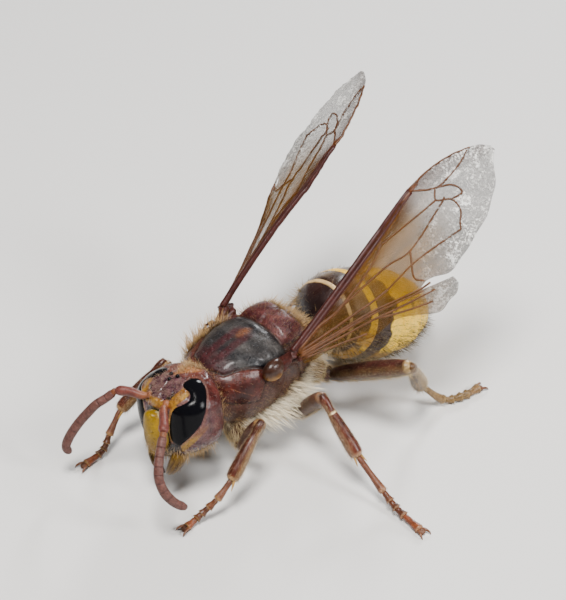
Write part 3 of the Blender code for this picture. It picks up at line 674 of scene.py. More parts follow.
class Tree:
    """A short way to build a node group: each call adds a node and links or sets its inputs."""

    def __init__(self, name, inputs):
        """An empty group with named inputs of (label, kind, value) and one geometry output."""
        self.group = bpy.data.node_groups.new(name, "GeometryNodeTree")
        face = self.group.interface
        for label, kind, value in inputs:
            socket = face.new_socket(label, in_out="INPUT", socket_type=kind)
            if value is not None:
                socket.default_value = value
        face.new_socket("Geometry", in_out="OUTPUT", socket_type="NodeSocketGeometry")
        self.enter = self.group.nodes.new("NodeGroupInput").outputs

    def add(self, kind, inputs, out=0, **settings):
        """A node with its settings and inputs, as its output number out."""
        node = self.group.nodes.new(kind)
        for key, value in settings.items():
            setattr(node, key, value)
        feed_all(self.group, node, inputs)
        return node.outputs[out]

    def maths(self, operation, a, b):
        """One sum of two values."""
        return self.add("ShaderNodeMath", {0: a, 1: b}, operation=operation)

    def vector(self, operation, a, b):
        """One sum of two vectors."""
        return self.add("ShaderNodeVectorMath", {0: a, 1: b}, operation=operation)

    def field(self, name, kind="FLOAT"):
        """A value stored on the mesh."""
        return self.add("GeometryNodeInputNamedAttribute", {"Name": name}, data_type=kind)

    def store(self, geometry, name, value, kind, domain):
        """The geometry with a value stored on it."""
        return self.add(
            "GeometryNodeStoreNamedAttribute",
            {"Geometry": geometry, "Name": name, "Value": value}, data_type=kind, domain=domain,
        )

    def end(self, geometry):
        """The finished group."""
        leave = self.group.nodes.new("NodeGroupOutput")
        self.group.links.new(geometry, leave.inputs["Geometry"])
        return self.group


# How much of the unwrap one hair takes, and how hairs vary
PATCH = 0.003
SHAKE_SEED = 3
LENGTH_SEED = 5
SHORTEST = 0.6
LONGEST = 1.15
COAT_INPUTS = (
    ("Geometry", "NodeSocketGeometry", None),
    ("Weight", "NodeSocketString", "hair_weight"),
    ("Density", "NodeSocketFloat", 1e8),
    ("Length", "NodeSocketFloat", 1.0),
    ("Slim", "NodeSocketFloat", 0.04),
    ("Bend", "NodeSocketFloat", 0.25),
    ("Jitter", "NodeSocketFloat", 0.3),
    ("Seed", "NodeSocketInt", 1),
    ("Material", "NodeSocketMaterial", None),
)


def hair_roots(tree):
    """Points scattered over the skin by weight, with their place on its unwrap, and the skin's normals."""
    enter = tree.enter
    density = tree.maths("MULTIPLY", tree.field(enter["Weight"]), enter["Density"])
    scatter = tree.group.nodes.new("GeometryNodeDistributePointsOnFaces")
    scatter.distribute_method = "RANDOM"
    for out, key in ((enter["Geometry"], "Mesh"), (density, "Density"), (enter["Seed"], "Seed")):
        tree.group.links.new(out, scatter.inputs[key])
    unwrap = tree.field("UVMap", "FLOAT_VECTOR")
    points = tree.store(scatter.outputs["Points"], "root", unwrap, "FLOAT_VECTOR", "POINT")
    return points, scatter.outputs["Normal"]


def hair_turn(tree, normal):
    """The turn of each hair: out of the skin, laid over by its lie and shaken a little."""
    shake = tree.add(
        "FunctionNodeRandomValue", {"Min": (-1.0, -1.0, -1.0), "Max": (1.0, 1.0, 1.0), "Seed": SHAKE_SEED},
        data_type="FLOAT_VECTOR",
    )
    shake = tree.add("ShaderNodeVectorMath", {0: shake, "Scale": tree.enter["Jitter"]}, operation="SCALE")
    lie = tree.field("lie", "FLOAT_VECTOR")
    way = tree.vector("ADD", tree.vector("ADD", normal, lie), shake)
    turn = tree.add("FunctionNodeAlignRotationToVector", {"Vector": way}, axis="Z")
    over = tree.vector("ADD", lie, shake)
    return tree.add(
        "FunctionNodeAlignRotationToVector", {"Rotation": turn, "Vector": over}, axis="X", pivot_axis="Z",
    )


def hair_scale(tree):
    """The length of each hair."""
    vary = tree.add(
        "FunctionNodeRandomValue", {2: SHORTEST, 3: LONGEST, "Seed": LENGTH_SEED}, out=1, data_type="FLOAT",
    )
    length = tree.maths("MULTIPLY", tree.field("hair_length"), tree.enter["Length"])
    return tree.maths("MULTIPLY", length, vary)


def one_hair(tree):
    """A bent cone of length 1 that remembers where each of its points was."""
    hair = tree.add("GeometryNodeMeshCone", {
        "Vertices": 3, "Side Segments": 3, "Radius Top": 0.0, "Radius Bottom": tree.enter["Slim"],
        "Depth": 1.0,
    })
    place = tree.add("GeometryNodeInputPosition", {})
    hair = tree.store(hair, "local", place, "FLOAT_VECTOR", "POINT")
    split = tree.group.nodes.new("ShaderNodeSeparateXYZ")
    tree.group.links.new(place, split.inputs[0])
    square = tree.maths("MULTIPLY", split.outputs["Z"], split.outputs["Z"])
    curl = tree.maths("MULTIPLY", square, tree.enter["Bend"])
    offset = tree.add("ShaderNodeCombineXYZ", {"X": curl})
    hair = tree.add("GeometryNodeSetPosition", {"Geometry": hair, "Offset": offset})
    return tree.add("GeometryNodeSetShadeSmooth", {"Geometry": hair})


def hair_unwrap(tree):
    """Where a point of a hair lies on the unwrap: at its root, across by its width and up by its length."""
    local = tree.group.nodes.new("ShaderNodeSeparateXYZ")
    tree.group.links.new(tree.field("local", "FLOAT_VECTOR"), local.inputs[0])
    across = tree.maths("MULTIPLY", tree.maths("DIVIDE", local.outputs["X"], tree.enter["Slim"]), PATCH / 2)
    upward = tree.maths("MULTIPLY", local.outputs["Z"], PATCH)
    shift = tree.add("ShaderNodeCombineXYZ", {"X": across, "Y": upward})
    return tree.vector("ADD", tree.field("root", "FLOAT_VECTOR"), shift)


def coat_tree():
    """Hairs scattered over a skin by its weights, each a thin bent cone with its own place in OFBake."""
    tree = Tree("coat", COAT_INPUTS)
    points, normal = hair_roots(tree)
    turn = hair_turn(tree, normal)
    many = tree.add("GeometryNodeInstanceOnPoints", {
        "Points": points, "Instance": one_hair(tree), "Rotation": turn, "Scale": hair_scale(tree),
    })
    many = tree.add("GeometryNodeRealizeInstances", {"Geometry": many})
    many = tree.store(many, "OFBake", hair_unwrap(tree), "FLOAT2", "CORNER")
    many = tree.add("GeometryNodeSetMaterial", {"Geometry": many, "Material": tree.enter["Material"]})
    return tree.end(many)


def grow_coat(skin, name, slot, material, **numbers):
    """One coat piece from a skin's own weights, as a plain mesh in the frame."""
    base = bpy.data.objects.new(f"{name}_base", skin.data.copy())
    bpy.context.scene.collection.objects.link(base)
    modifier = base.modifiers.new("coat", "NODES")
    modifier.node_group = COAT
    sockets = {item.name: item.identifier for item in COAT.interface.items_tree if item.in_out == "INPUT"}
    for key, value in {**numbers, "Material": material}.items():
        modifier[sockets[key]] = value
    depsgraph = bpy.context.evaluated_depsgraph_get()
    mesh = bpy.data.meshes.new_from_object(base.evaluated_get(depsgraph))
    bpy.data.objects.remove(base)
    for spare in ("lie", "root", "hair_weight", "bristle_weight", "hair_length", "paint", "UVMap"):
        if spare in mesh.attributes:
            mesh.attributes.remove(mesh.attributes[spare])
    mesh.name = name
    made = bpy.data.objects.new(name, mesh)
    bpy.context.scene.collection.objects.link(made)
    show(made, slot)


# The shape of a hair against its length: radius, bend and shake
PILE = {"Slim": 0.024, "Bend": 0.22, "Jitter": 0.36}
BRISTLE = {"Slim": 0.022, "Bend": 0.12, "Jitter": 0.35}


def coats(skin, slot, seed, pile=1.1e8, bristles=1.6e7, long=1.9, kind="hair"):
    """The fine pile and the longer bristles of a skin, in hairs to the square metre at full weight."""
    name = skin.name.replace("_skin", "")
    grow_coat(
        skin, f"{name}_pile", slot, MATERIALS["hair"], Weight="hair_weight", Density=pile, Seed=seed, **PILE,
    )
    grow_coat(
        skin, f"{name}_bristles", slot, MATERIALS[kind], Weight="bristle_weight", Density=bristles,
        Seed=seed + 1, Length=long, **BRISTLE,
    )


# Thorax

# The plates in turn, each the space inside its planes of (point, outward normal)
SCUTUM_CORNER = (1.40, -4.25)
KEEL = 0.35
PLATES = {
    "mesoscutum": (
        ((SCUTUM_CORNER[0], SCUTUM_CORNER[1], 0.0), (0.324, -0.946, 0.0)),
        ((SCUTUM_CORNER[0], SCUTUM_CORNER[1], 0.0), (0.902, -0.433, 0.0)),
        ((-SCUTUM_CORNER[0], SCUTUM_CORNER[1], 0.0), (-0.324, -0.946, 0.0)),
        ((-SCUTUM_CORNER[0], SCUTUM_CORNER[1], 0.0), (-0.902, -0.433, 0.0)),
        ((0.0, 0.25, 0.0), (0.0, 1.0, 0.0)),
        ((0.0, 0.0, -0.35), (KEEL, 0.0, -1.0)),
        ((0.0, 0.0, -0.35), (-KEEL, 0.0, -1.0)),
        ((2.80, 0.0, 0.9), (1.0, 0.0, 0.35)),
        ((-2.80, 0.0, 0.9), (-1.0, 0.0, 0.35)),
    ),
    "pronotum": (
        ((0.0, -1.70, 0.49), (0.0, 1.0, -0.45)),
        ((0.0, -1.9, -1.55), (0.0, -0.22, -1.0)),
    ),
    "scutellum": (
        ((0.0, 2.45, 1.70), (0.0, 1.0, 0.35)),
        ((0.0, 0.0, 0.20), (KEEL, 0.0, -1.0)),
        ((0.0, 0.0, 0.20), (-KEEL, 0.0, -1.0)),
        ((0.0, 0.0, 0.0), (0.0, -1.0, 0.0)),
    ),
    "postscutellum": (
        ((0.0, 3.10, 1.0), (0.0, 1.0, 0.35)),
        ((0.0, 0.0, 0.10), (KEEL, 0.0, -1.0)),
        ((0.0, 0.0, 0.10), (-KEEL, 0.0, -1.0)),
        ((0.0, 0.0, 0.0), (0.0, -1.0, 0.0)),
    ),
    "propodeum": (((0.0, 2.60, 0.0), (0.0, -1.0, 0.12)),),
    "mesopleuron": (
        ((0.0, 1.35, -1.5), (0.0, 1.0, 0.25)),
    ),
}


def plate_depths(points):
    """For each plate in turn, how far inside it each point lies, where no earlier plate holds the point."""
    depths = {}
    free = np.full(points.shape[:-1], 9.0)
    for name, planes in PLATES.items():
        inside = np.full(points.shape[:-1], 9.0)
        for place, normal in planes:
            normal = np.asarray(normal) / np.linalg.norm(normal)
            inside = np.minimum(inside, -((points - np.asarray(place)) @ normal))
        depths[name] = np.minimum(inside, free)
        free = np.minimum(free, -inside)
    depths["rest"] = free
    return depths


# Colours as linear red, green and blue
BLACK = (0.010, 0.008, 0.009)
CHOCOLATE = (0.026, 0.010, 0.007)
CREAM = (0.780, 0.600, 0.320)
GOLD = (0.560, 0.340, 0.110)
COLLAR_RED = (0.048, 0.008, 0.005)
COLLAR_DARK = (0.026, 0.005, 0.004)
COLLAR_LIT = (0.062, 0.014, 0.010)
COLLAR_LINE = (0.30, 0.12, 0.06)
SCUTUM_GREY = (0.036, 0.032, 0.030)
SCUTUM_BLACK = (0.008, 0.007, 0.008)
SCUTUM_STRIPE = (0.040, 0.007, 0.009)
SCUTUM_FRONT = (0.034, 0.007, 0.008)
SCUTUM_MARK = (0.150, 0.052, 0.020)
SCUTUM_LINE = (0.16, 0.11, 0.08)
SCUTELLUM_DARK = (0.040, 0.008, 0.009)
SCUTELLUM_ROSE = (0.085, 0.026, 0.024)
POSTSCUTELLUM_RED = (0.105, 0.030, 0.020)
PROPODEUM_BROWN = (0.028, 0.011, 0.009)
FLANK_BROWN = (0.050, 0.020, 0.014)
BREAST_BROWN = (0.060, 0.024, 0.014)
BACK_HAIR = (0.44, 0.27, 0.11)
FRONT_HAIR = (0.46, 0.27, 0.12)
FLANK_HAIR = (0.92, 0.82, 0.62)
BELLY_HAIR = (0.30, 0.21, 0.13)
SCUTUM_HAIR = (0.12, 0.08, 0.06)

# Rows and columns of the skin, how deep the seams are and how far each plate swells
THORAX_GRID = (150, 220)
SEAM_DEPTH = 0.09
PLATE_SWELL = {
    "mesoscutum": 0.10, "pronotum": 0.05, "scutellum": 0.16, "postscutellum": 0.10, "propodeum": 0.02,
    "mesopleuron": 0.06, "rest": 0.0,
}

# Plates of one colour with the softness of their edge, and how much hair some plates carry
PLAIN_PLATES = {
    "postscutellum": (POSTSCUTELLUM_RED, 0.12),
    "propodeum": (PROPODEUM_BROWN, 0.12),
    "mesopleuron": (FLANK_BROWN, 0.15),
}
PLATE_HAIR = {"pronotum": 0.07, "mesoscutum": 0.07, "postscutellum": 0.6, "propodeum": 0.35}


def thorax_rings():
    """The plain thorax, before its plates are raised."""
    rows, columns = THORAX_GRID
    ys = np.linspace(THORAX[0][0], THORAX[-1][0], rows)
    half, top, bottom = along(THORAX, ys).T
    middle = bottom + THORAX_BELLY * (top - bottom)
    c, s = rounded(2 * math.pi * (np.arange(columns) + 0.5) / columns, THORAX_SQUARE)
    tall = np.where(s[None] > 0, (top - middle)[:, None], (middle - bottom)[:, None])
    return np.stack([
        half[:, None] * c[None],
        np.repeat(ys[:, None], columns, 1),
        middle[:, None] + tall * s[None],
    ], -1)


def thorax_lift(spots, depths, nearest):
    """How far the plates rise, and the seams and furrows sink, at each spot of the plain thorax."""
    x, y, z = np.moveaxis(spots, -1, 0)
    lift = -SEAM_DEPTH * (1 - smooth(0.0, 0.10, nearest))
    for name, depth in depths.items():
        lift = lift + PLATE_SWELL[name] * smooth(0.0, 0.55, depth)
    midline = band(x, 0.0, 0.008, 0.05) * smooth(-4.6, -3.6, y)
    notch = band(np.abs(x) - 1.15 - 0.05 * y, 0.0, 0.01, 0.06)
    notch = notch * smooth(-3.2, -2.2, y) * band(y, -1.2, 1.0, 0.6)
    side_pit = band(y - 0.9 * (z + 1.6) + 0.9, 0.0, 0.03, 0.12) * band(z, -1.7, 0.9, 0.4)
    lift -= 0.045 * smooth(0.0, 0.1, depths["mesoscutum"]) * (midline + 0.7 * notch)
    lift -= 0.10 * smooth(0.0, 0.1, depths["scutellum"]) * band(x, 0.0, 0.02, 0.22)
    lift -= 0.14 * smooth(0.0, 0.2, depths["propodeum"]) * band(x, 0.0, 0.1, 0.7)
    lift -= 0.06 * smooth(0.0, 0.2, depths["mesopleuron"]) * side_pit
    return lift + 0.012 * ripple(spots, 0.7, 3)


def scutum_colours(x, y, rings):
    """Charcoal with two red stripes, an orange mark between their ends and a pale midline in front."""
    paint = mix(SCUTUM_GREY, SCUTUM_BLACK, 0.5 + 0.5 * ripple(rings, 1.6, 5))
    stripes = band(np.abs(x) - 0.44, 0.0, 0.14, 0.26) * (1 - smooth(-1.6, -0.5, y))
    paint = mix(paint, SCUTUM_STRIPE, 0.8 * stripes)
    paint = mix(paint, SCUTUM_FRONT, 0.7 * band(y, -4.1, 0.3, 0.7))
    mark = band(np.hypot(x / 0.42, (y + 1.2) / 0.95), 0.0, 0.25, 0.75)
    paint = mix(paint, SCUTUM_MARK, 0.75 * mark)
    midline = band(x, 0.0, 0.008, 0.028) * (1 - smooth(-1.9, -1.4, y))
    return mix(paint, SCUTUM_LINE, 0.5 * midline)


def thorax_colours(spots, rings, depths, nearest):
    """The colour of each plate, with black seams, and the roughness last."""
    x, y, z = np.moveaxis(spots, -1, 0)
    collar, scutum = depths["pronotum"], depths["mesoscutum"]
    paint = mix(CHOCOLATE, BREAST_BROWN, smooth(-3.5, -0.5, z) * 0.7)
    red = mix(COLLAR_RED, COLLAR_DARK, 0.5 + 0.5 * ripple(rings, 1.8, 8))
    # Painted highlight: a lighter band along the top of the collar
    red = mix(red, COLLAR_LIT, band(z, 0.9, 0.3, 0.6) * 0.7)
    paint = mix(paint, red, smooth(0.0, 0.12, collar))
    line = band(z + 0.62 * (y + 4.05) + 0.10, 0.0, 0.008, 0.030) * smooth(-4.4, -4.2, y)
    line = line * (1 - smooth(-3.1, -2.9, y))
    paint = mix(paint, COLLAR_LINE, smooth(0.1, 0.2, collar) * line * 0.35)
    paint = mix(paint, scutum_colours(x, y, rings), smooth(0.0, 0.1, scutum))
    rose = mix(SCUTELLUM_DARK, SCUTELLUM_ROSE, 0.5 + 0.5 * ripple(rings, 0.9, 9))
    paint = mix(paint, rose, smooth(0.0, 0.12, depths["scutellum"]))
    for name, (colour, edge) in PLAIN_PLATES.items():
        paint = mix(paint, colour, smooth(0.0, edge, depths[name]))
    paint = mix(BLACK, paint, smooth(0.0, 0.06, nearest))
    rough = 0.36 - 0.08 * smooth(0, 0.2, collar) + 0.02 * smooth(0.0, 0.1, scutum)
    return np.concatenate([paint, rough[..., None]], -1)


def thorax_hair(spots, rings, depths):
    """Weights, length, lie and colour of the hair: short above, long and pale on the flanks below."""
    x, y, z = np.moveaxis(spots, -1, 0)
    collar, scutum, scutel = depths["pronotum"], depths["mesoscutum"], depths["scutellum"]
    front = 1 - smooth(-4.9, -4.3, y)
    low = 1 - smooth(-2.6, -1.6, z - 0.20 * (y + 1.0) + 0.22 * ripple(rings, 1.2, 17))
    low = low * (1 - 0.5 * smooth(1.0, 2.4, y))
    belly = 1 - smooth(0.9, 2.0, np.abs(x))
    far = smooth(2.0, 2.5, -x) * (1 - smooth(-0.8, 0.4, y)) * smooth(-1.0, 0.0, z)
    far = np.maximum(far, 0.35 * (collar > 0) * (1 - smooth(-4.7, -4.3, y)) * (x < 1.2))
    hind_rim = smooth(1.7, 2.3, y + 0.35 * (z - 1.7)) * (scutel > 0) + (scutel > 0) * smooth(1.7, 2.1, -x)
    weight = (0.12 + low * (0.50 + 0.40 * smooth(-3.2, -1.5, y))) * (1 - 0.55 * belly)
    for name, amount in PLATE_HAIR.items():
        weight = np.where(depths[name] > 0, amount, weight)
    weight = np.where(scutel > 0, 0.12 + 0.7 * hind_rim, weight)
    weight = np.maximum(weight, np.maximum(0.95 * front * (scutum <= 0), far))
    length = 0.17 + 0.50 * low + 0.28 * front * (scutum <= 0) + 0.54 * far + 0.34 * hind_rim
    length = length + 0.40 * low * smooth(-3.2, -1.5, y) * (1 - belly)
    length = length + 0.14 * smooth(2.4, 3.0, y)
    tint = mix(BACK_HAIR, FRONT_HAIR, front)
    tint = mix(tint, FLANK_HAIR, smooth(0.2, 0.8, low) * smooth(0.9, 1.8, np.abs(x)))
    tint = mix(tint, BELLY_HAIR, low * belly)
    tint = mix(tint, SCUTUM_HAIR, (scutum > 0) * (1 - far))
    lie = np.stack([0.6 * low * np.sign(x), 0.35 - 0.7 * front, 0.5 * far], -1)
    bristle = 0.30 + 1.6 * far + 0.8 * (scutel > 0) + 0.7 * (depths["postscutellum"] > 0)
    bristle = bristle + 0.9 * low * smooth(-4.0, -2.0, y) * (1 - belly)
    bristle = np.where((collar > 0) & (x > 1.0), 0.10, bristle)
    return weight, bristle, length, lie, tint


def make_thorax():
    """Thorax skin with its plates, furrows, markings and coat."""
    spots = thorax_rings()
    depths = plate_depths(spots)
    nearest = np.max(np.stack(list(depths.values())), 0)
    rings = spots + grown_normals(spots) * thorax_lift(spots, depths, nearest)[..., None]
    heap = Heap()
    heap.add(rings, thorax_colours(spots, rings, depths, nearest), thorax_hair(spots, rings, depths))
    made = heap.make("thorax_skin", MATERIALS["thorax"])
    show(made, "thorax_shell", "thorax", "pronotum", "mesoscutum", "scutellum", "propodeum")
    coats(made, "thorax_shell", 100, 1.0e8)


def ball(centre, size, rows=24, columns=32):
    """Rings of a rounded body, with its poles along X."""
    turn = np.linspace(0.02, math.pi - 0.02, rows)
    angles = 2 * math.pi * (np.arange(columns) + 0.5) / columns
    return np.asarray(centre) + np.stack([
        -np.cos(turn)[:, None] * np.ones(columns) * size[0],
        np.sin(turn)[:, None] * np.cos(angles) * size[1],
        np.sin(turn)[:, None] * np.sin(angles) * size[2],
    ], -1)


# Tegula colours
TEGULA_AMBER = (0.210, 0.088, 0.008)
TEGULA_BROWN = (0.030, 0.011, 0.006)


def make_tegulae():
    """The glossy knob over each wing root."""
    for side in SIDES:
        centre, size = TEGULA[side], TEGULA_SIZE[side]
        rings = ball(centre, size)
        z = rings[..., 2]
        rings[..., 0] -= 0.14 * smooth(0.2, 0.8, (rings[..., 1] - centre[1]) / size[1])
        rings[..., 0] *= side
        paint = mix(TEGULA_AMBER, TEGULA_BROWN, smooth(centre[2] - 0.45, centre[2] + 0.15, z))
        heap = Heap()
        heap.add(rings, with_roughness(paint, 0.34))
        name = side_name("tegula", side)
        show(heap.make(f"{name}_plate", MATERIALS["gloss"]), "thorax_shell", name)


# Head

# The search for the head's surface: steps, nearest and farthest; and how it closes over at top and chin
SEARCH_STEPS = 22
NEAREST_SKIN = 0.5
FARTHEST_SKIN = 6.0
CLOSE_OVER = 0.25
CLOSE_WEIGHT = 0.75


def head_surface(directions):
    """Points on the head where unit directions from the middle of the skull meet it."""
    flat = directions.reshape(-1, 3)
    near, far = np.full(len(flat), NEAREST_SKIN), np.full(len(flat), FARTHEST_SKIN)
    low, high = HEAD[0][0], HEAD[-1][0]
    for _ in range(SEARCH_STEPS):
        middle = (near + far) / 2
        points = np.asarray(SKULL_CENTRE) + flat * middle[:, None]
        half, front, back = along(HEAD, points[:, 2]).T
        deep = np.where(points[:, 1] < HEAD_WIDEST, HEAD_WIDEST - front, back - HEAD_WIDEST)
        beside = np.abs(points[:, 0] / half)
        across = beside ** HEAD_SQUARE + np.abs((points[:, 1] - HEAD_WIDEST) / deep) ** HEAD_SQUARE
        edge = np.maximum(0, points[:, 2] - (high - CLOSE_OVER)) / CLOSE_OVER
        base = np.maximum(0, (low + CLOSE_OVER) - points[:, 2]) / CLOSE_OVER
        inside = across + edge ** 2 * CLOSE_WEIGHT + base ** 2 * CLOSE_WEIGHT < 1
        inside &= (points[:, 2] > low) & (points[:, 2] < high)
        near = np.where(inside, middle, near)
        far = np.where(inside, far, middle)
    return (np.asarray(SKULL_CENTRE) + flat * near[:, None]).reshape(directions.shape)


def turned(points):
    """Points drawn on the straight head, turned as the head is in this pose."""
    pitch, roll, yaw = HEAD_TURN
    turn = Matrix.Rotation(yaw, 3, "Z") @ Matrix.Rotation(-pitch, 3, "X") @ Matrix.Rotation(-roll, 3, "Y")
    centre = np.asarray(SKULL_CENTRE)
    return (np.asarray(points) - centre) @ np.array(turn).T + centre + np.asarray(HEAD_MOVE)


def ways(round_by, up_by):
    """Unit directions from degrees round and degrees up."""
    a, b = np.radians(round_by), np.radians(up_by)
    return np.stack([np.sin(a) * np.cos(b), -np.cos(a) * np.cos(b), np.sin(b)], -1)


def outline_distance(round_by, up_by, outline):
    """How far inside a closed outline of directions each direction lies, in about degrees of arc."""
    flat = np.stack([np.asarray(round_by).ravel(), np.asarray(up_by).ravel()], -1)
    loop = np.asarray(outline, float)
    inside = np.zeros(len(flat), bool)
    best = np.full(len(flat), 1e9)
    stretch = np.cos(np.radians(flat[:, 1]))
    for a, b in zip(loop, np.roll(loop, -1, axis=0)):
        crosses = (a[1] > flat[:, 1]) != (b[1] > flat[:, 1])
        at = a[0] + (flat[:, 1] - a[1]) / (b[1] - a[1] if b[1] != a[1] else 1e-9) * (b[0] - a[0])
        inside ^= crosses & (flat[:, 0] < at)
        edge = (b - a)[None] * np.stack([stretch, np.ones_like(stretch)], -1)
        rel = (flat - a) * np.stack([stretch, np.ones_like(stretch)], -1)
        t = np.clip(np.sum(rel * edge, 1) / np.maximum(np.sum(edge * edge, 1), 1e-9), 0, 1)
        best = np.minimum(best, np.linalg.norm(rel - edge * t[:, None], axis=1))
    return np.where(inside, best, -best).reshape(np.shape(round_by))


def fine_line(rows, count=12):
    """A smooth line through rows of values, with count steps between each two."""
    steps = len(rows) - 1
    return along([(i / steps, *row) for i, row in enumerate(rows)], np.linspace(0, 1, count * steps))


EYE_LOOP = np.concatenate([fine_line(EYE_INNER, 4), fine_line(EYE_OUTER, 4)[::-1]])
CLYPEUS_EDGE = fine_line(CLYPEUS, 4)
CLYPEUS_LOOP = np.concatenate([
    np.stack([CLYPEUS_EDGE[:, 1], CLYPEUS_EDGE[:, 0]], -1),
    np.stack([-CLYPEUS_EDGE[:, 1], CLYPEUS_EDGE[:, 0]], -1)[::-1],
])

HEAD_GRID = (170, 240)

# Head colours
VIOLET_DARK = (0.050, 0.018, 0.026)
VIOLET_PALE = (0.120, 0.058, 0.056)
HEAD_DARK = (0.036, 0.008, 0.007)
HEAD_RED = (0.066, 0.016, 0.013)
CROWN_RED = (0.110, 0.024, 0.014)
JOWL_RED = (0.060, 0.010, 0.014)
NAPE_ORANGE = (0.30, 0.120, 0.040)
FACE_BROWN = (0.170, 0.062, 0.006)
FACE_ORANGE = (0.30, 0.150, 0.016)
STRIP_YELLOW = (0.24, 0.130, 0.012)
STRIP_BROWN = (0.130, 0.050, 0.022)
EYE_RIM = (0.16, 0.080, 0.060)
CHIN_BROWN = (0.020, 0.008, 0.006)
SOCKET_BLACK = (0.010, 0.006, 0.006)
FACE_HAIR = (0.44, 0.30, 0.20)
NAPE_HAIR = (0.52, 0.34, 0.16)


def head_grid():
    """Degrees round and up over the head, and the directions they stand for."""
    rows, columns = HEAD_GRID
    ups = np.degrees(np.arcsin(np.linspace(-0.995, 0.995, rows)))
    rounds = (np.arange(columns) + 0.5) / columns * 360 - 180
    up_by, round_by = np.meshgrid(ups, rounds, indexing="ij")
    return round_by, up_by, ways(round_by, up_by)


def brow_groove(a, up_by):
    """The slanting groove from each feeler's socket to the eye, for a degrees away from the face's middle."""
    return band(up_by - 38 - 0.72 * (a - 26), 0.0, 1.5, 2.5) * band(a, 32, 6, 3)


def head_lift(rings, round_by, up_by, eye_in, face_in):
    """How far the brow, sockets, grooves and temples stand off the plain head.

    eye_in and face_in are degrees inside the outlines of the eye and the clypeus.
    """
    x, y, z = np.moveaxis(rings, -1, 0)
    a = np.abs(round_by)
    lift = -0.16 * smooth(0.5, 4.0, eye_in) + 0.03 * band(eye_in, -3.2, 1.0, 2.0)
    lift -= 0.20 * smooth(0.0, 3.0, face_in) + 0.05 * band(face_in, -0.8, 0.6, 1.2)
    shield = band(a, 0.0, 11.0, 9.0) * band(up_by, 30.0, 4.5, 6.0)
    shield = shield + 0.6 * band(a, 0, 4, 5) * band(up_by, 38, 6, 8)
    socket = band(np.hypot(a - 24.0, 0.8 * (up_by - 36.0)), 0.0, 3.5, 3.0)
    lift += 0.17 * shield - 0.22 * socket - 0.10 * brow_groove(a, up_by)
    lift += 0.07 * band(a, 52.0, 9.0, 6.0) * band(up_by, 39.0, 6.0, 6.0)
    lift -= 0.05 * band(round_by, 0.0, 0.6, 1.6) * smooth(46, 52, up_by) * (1 - smooth(68, 74, up_by))
    lift += 0.06 * band(np.hypot(x, y + 7.15), 0.0, 0.25, 0.6) * smooth(0.5, 1.0, z)
    temple = smooth(100, 122, a) * (1 - smooth(150, 170, a)) * band(up_by, 18, 26, 24)
    lift += 0.08 * temple + 0.06 * smooth(62, 80, a) * band(up_by, -18, 16, 16)
    return lift + 0.008 * ripple(rings, 0.5, 11)


def orange_marks(a, up_by, eye_in):
    """The orange between the sockets, in each eye's notch, beside the clypeus and along the eye."""
    centre = band(a, 0, 17, 4) * band(up_by + 0.12 * a, 31.5, 6.0, 3)
    notch = band(a, 52, 15, 5) * band(up_by - 0.42 * (a - 36), 34.5, 6.5, 3) * (a < 75)
    side_piece = band(a, 33, 9, 4) * band(up_by, 31, 5, 3)
    margin = band(eye_in, -1.2, 1.6, 1.5) * (a < 44) * band(up_by, 3, 26, 10)
    return np.clip(np.maximum(np.maximum(centre, notch), np.maximum(side_piece, margin)), 0, 1)


def head_colours(rings, a, up_by, eye_in, face_in):
    """Violet face, red crown and jowls, orange marks, and painted shadow in the sockets, the grooves and
    round the clypeus, with the roughness last.
    """
    violet = mix(VIOLET_DARK, VIOLET_PALE, 0.5 + 0.5 * ripple(rings, 0.7, 12))
    red = mix(HEAD_DARK, HEAD_RED, 0.5 + 0.5 * ripple(rings, 1.0, 13))
    red = mix(red, CROWN_RED, 0.7 * smooth(40, 60, up_by) * smooth(85, 110, a))
    red = mix(red, JOWL_RED, 1 - smooth(-32, -8, up_by))
    paint = mix(violet, red, smooth(70, 98, a))
    paint = mix(paint, NAPE_ORANGE, smooth(135, 155, a) * smooth(48, 60, up_by))
    orange = orange_marks(a, up_by, eye_in)
    paint = mix(paint, mix(FACE_BROWN, FACE_ORANGE, 0.5 + 0.5 * ripple(rings, 0.7, 14)), orange * 0.95)
    # Painted shadow: black in the feeler sockets and the grooves from them, in the gap above the clypeus and
    # along the crease round it
    painted_socket_shade = band(np.hypot(a - 24, 0.8 * (up_by - 37)), 0, 3.0, 2.5)
    painted_socket_shade = np.maximum(painted_socket_shade, brow_groove(a, up_by))
    paint = mix(paint, BLACK, np.maximum(painted_socket_shade, band(face_in, -2.6, 2.2, 1.6) * (up_by > 8)))
    paint = mix(paint, BLACK, band(face_in, -1.2, 0.9, 0.8))
    strip = band(eye_in, -4.6, 3.4, 2.2) * smooth(40, 44, a) * band(up_by, -24, 14, 10)
    paint = mix(paint, mix(STRIP_YELLOW, STRIP_BROWN, smooth(-26, -12, up_by)), strip * 0.9)
    rim_line = band(eye_in, -1.0, 0.5, 0.7) * smooth(40, 46, a)
    paint = mix(paint, EYE_RIM, rim_line * 0.6)
    paint = mix(paint, CHIN_BROWN, 1 - smooth(-50, -42, up_by + 0.10 * (a - 60)))
    paint = mix(paint, BLACK, band(a - 28, 0, 12, 3) * band(up_by, -38, 6, 4))
    paint = mix(paint, SOCKET_BLACK, smooth(0.5, 2.0, eye_in))
    rough = 0.27 + 0.14 * smooth(0.3, 1.0, orange) + 0.06 * ripple(rings, 0.6, 15)
    return np.concatenate([paint, rough[..., None]], -1)


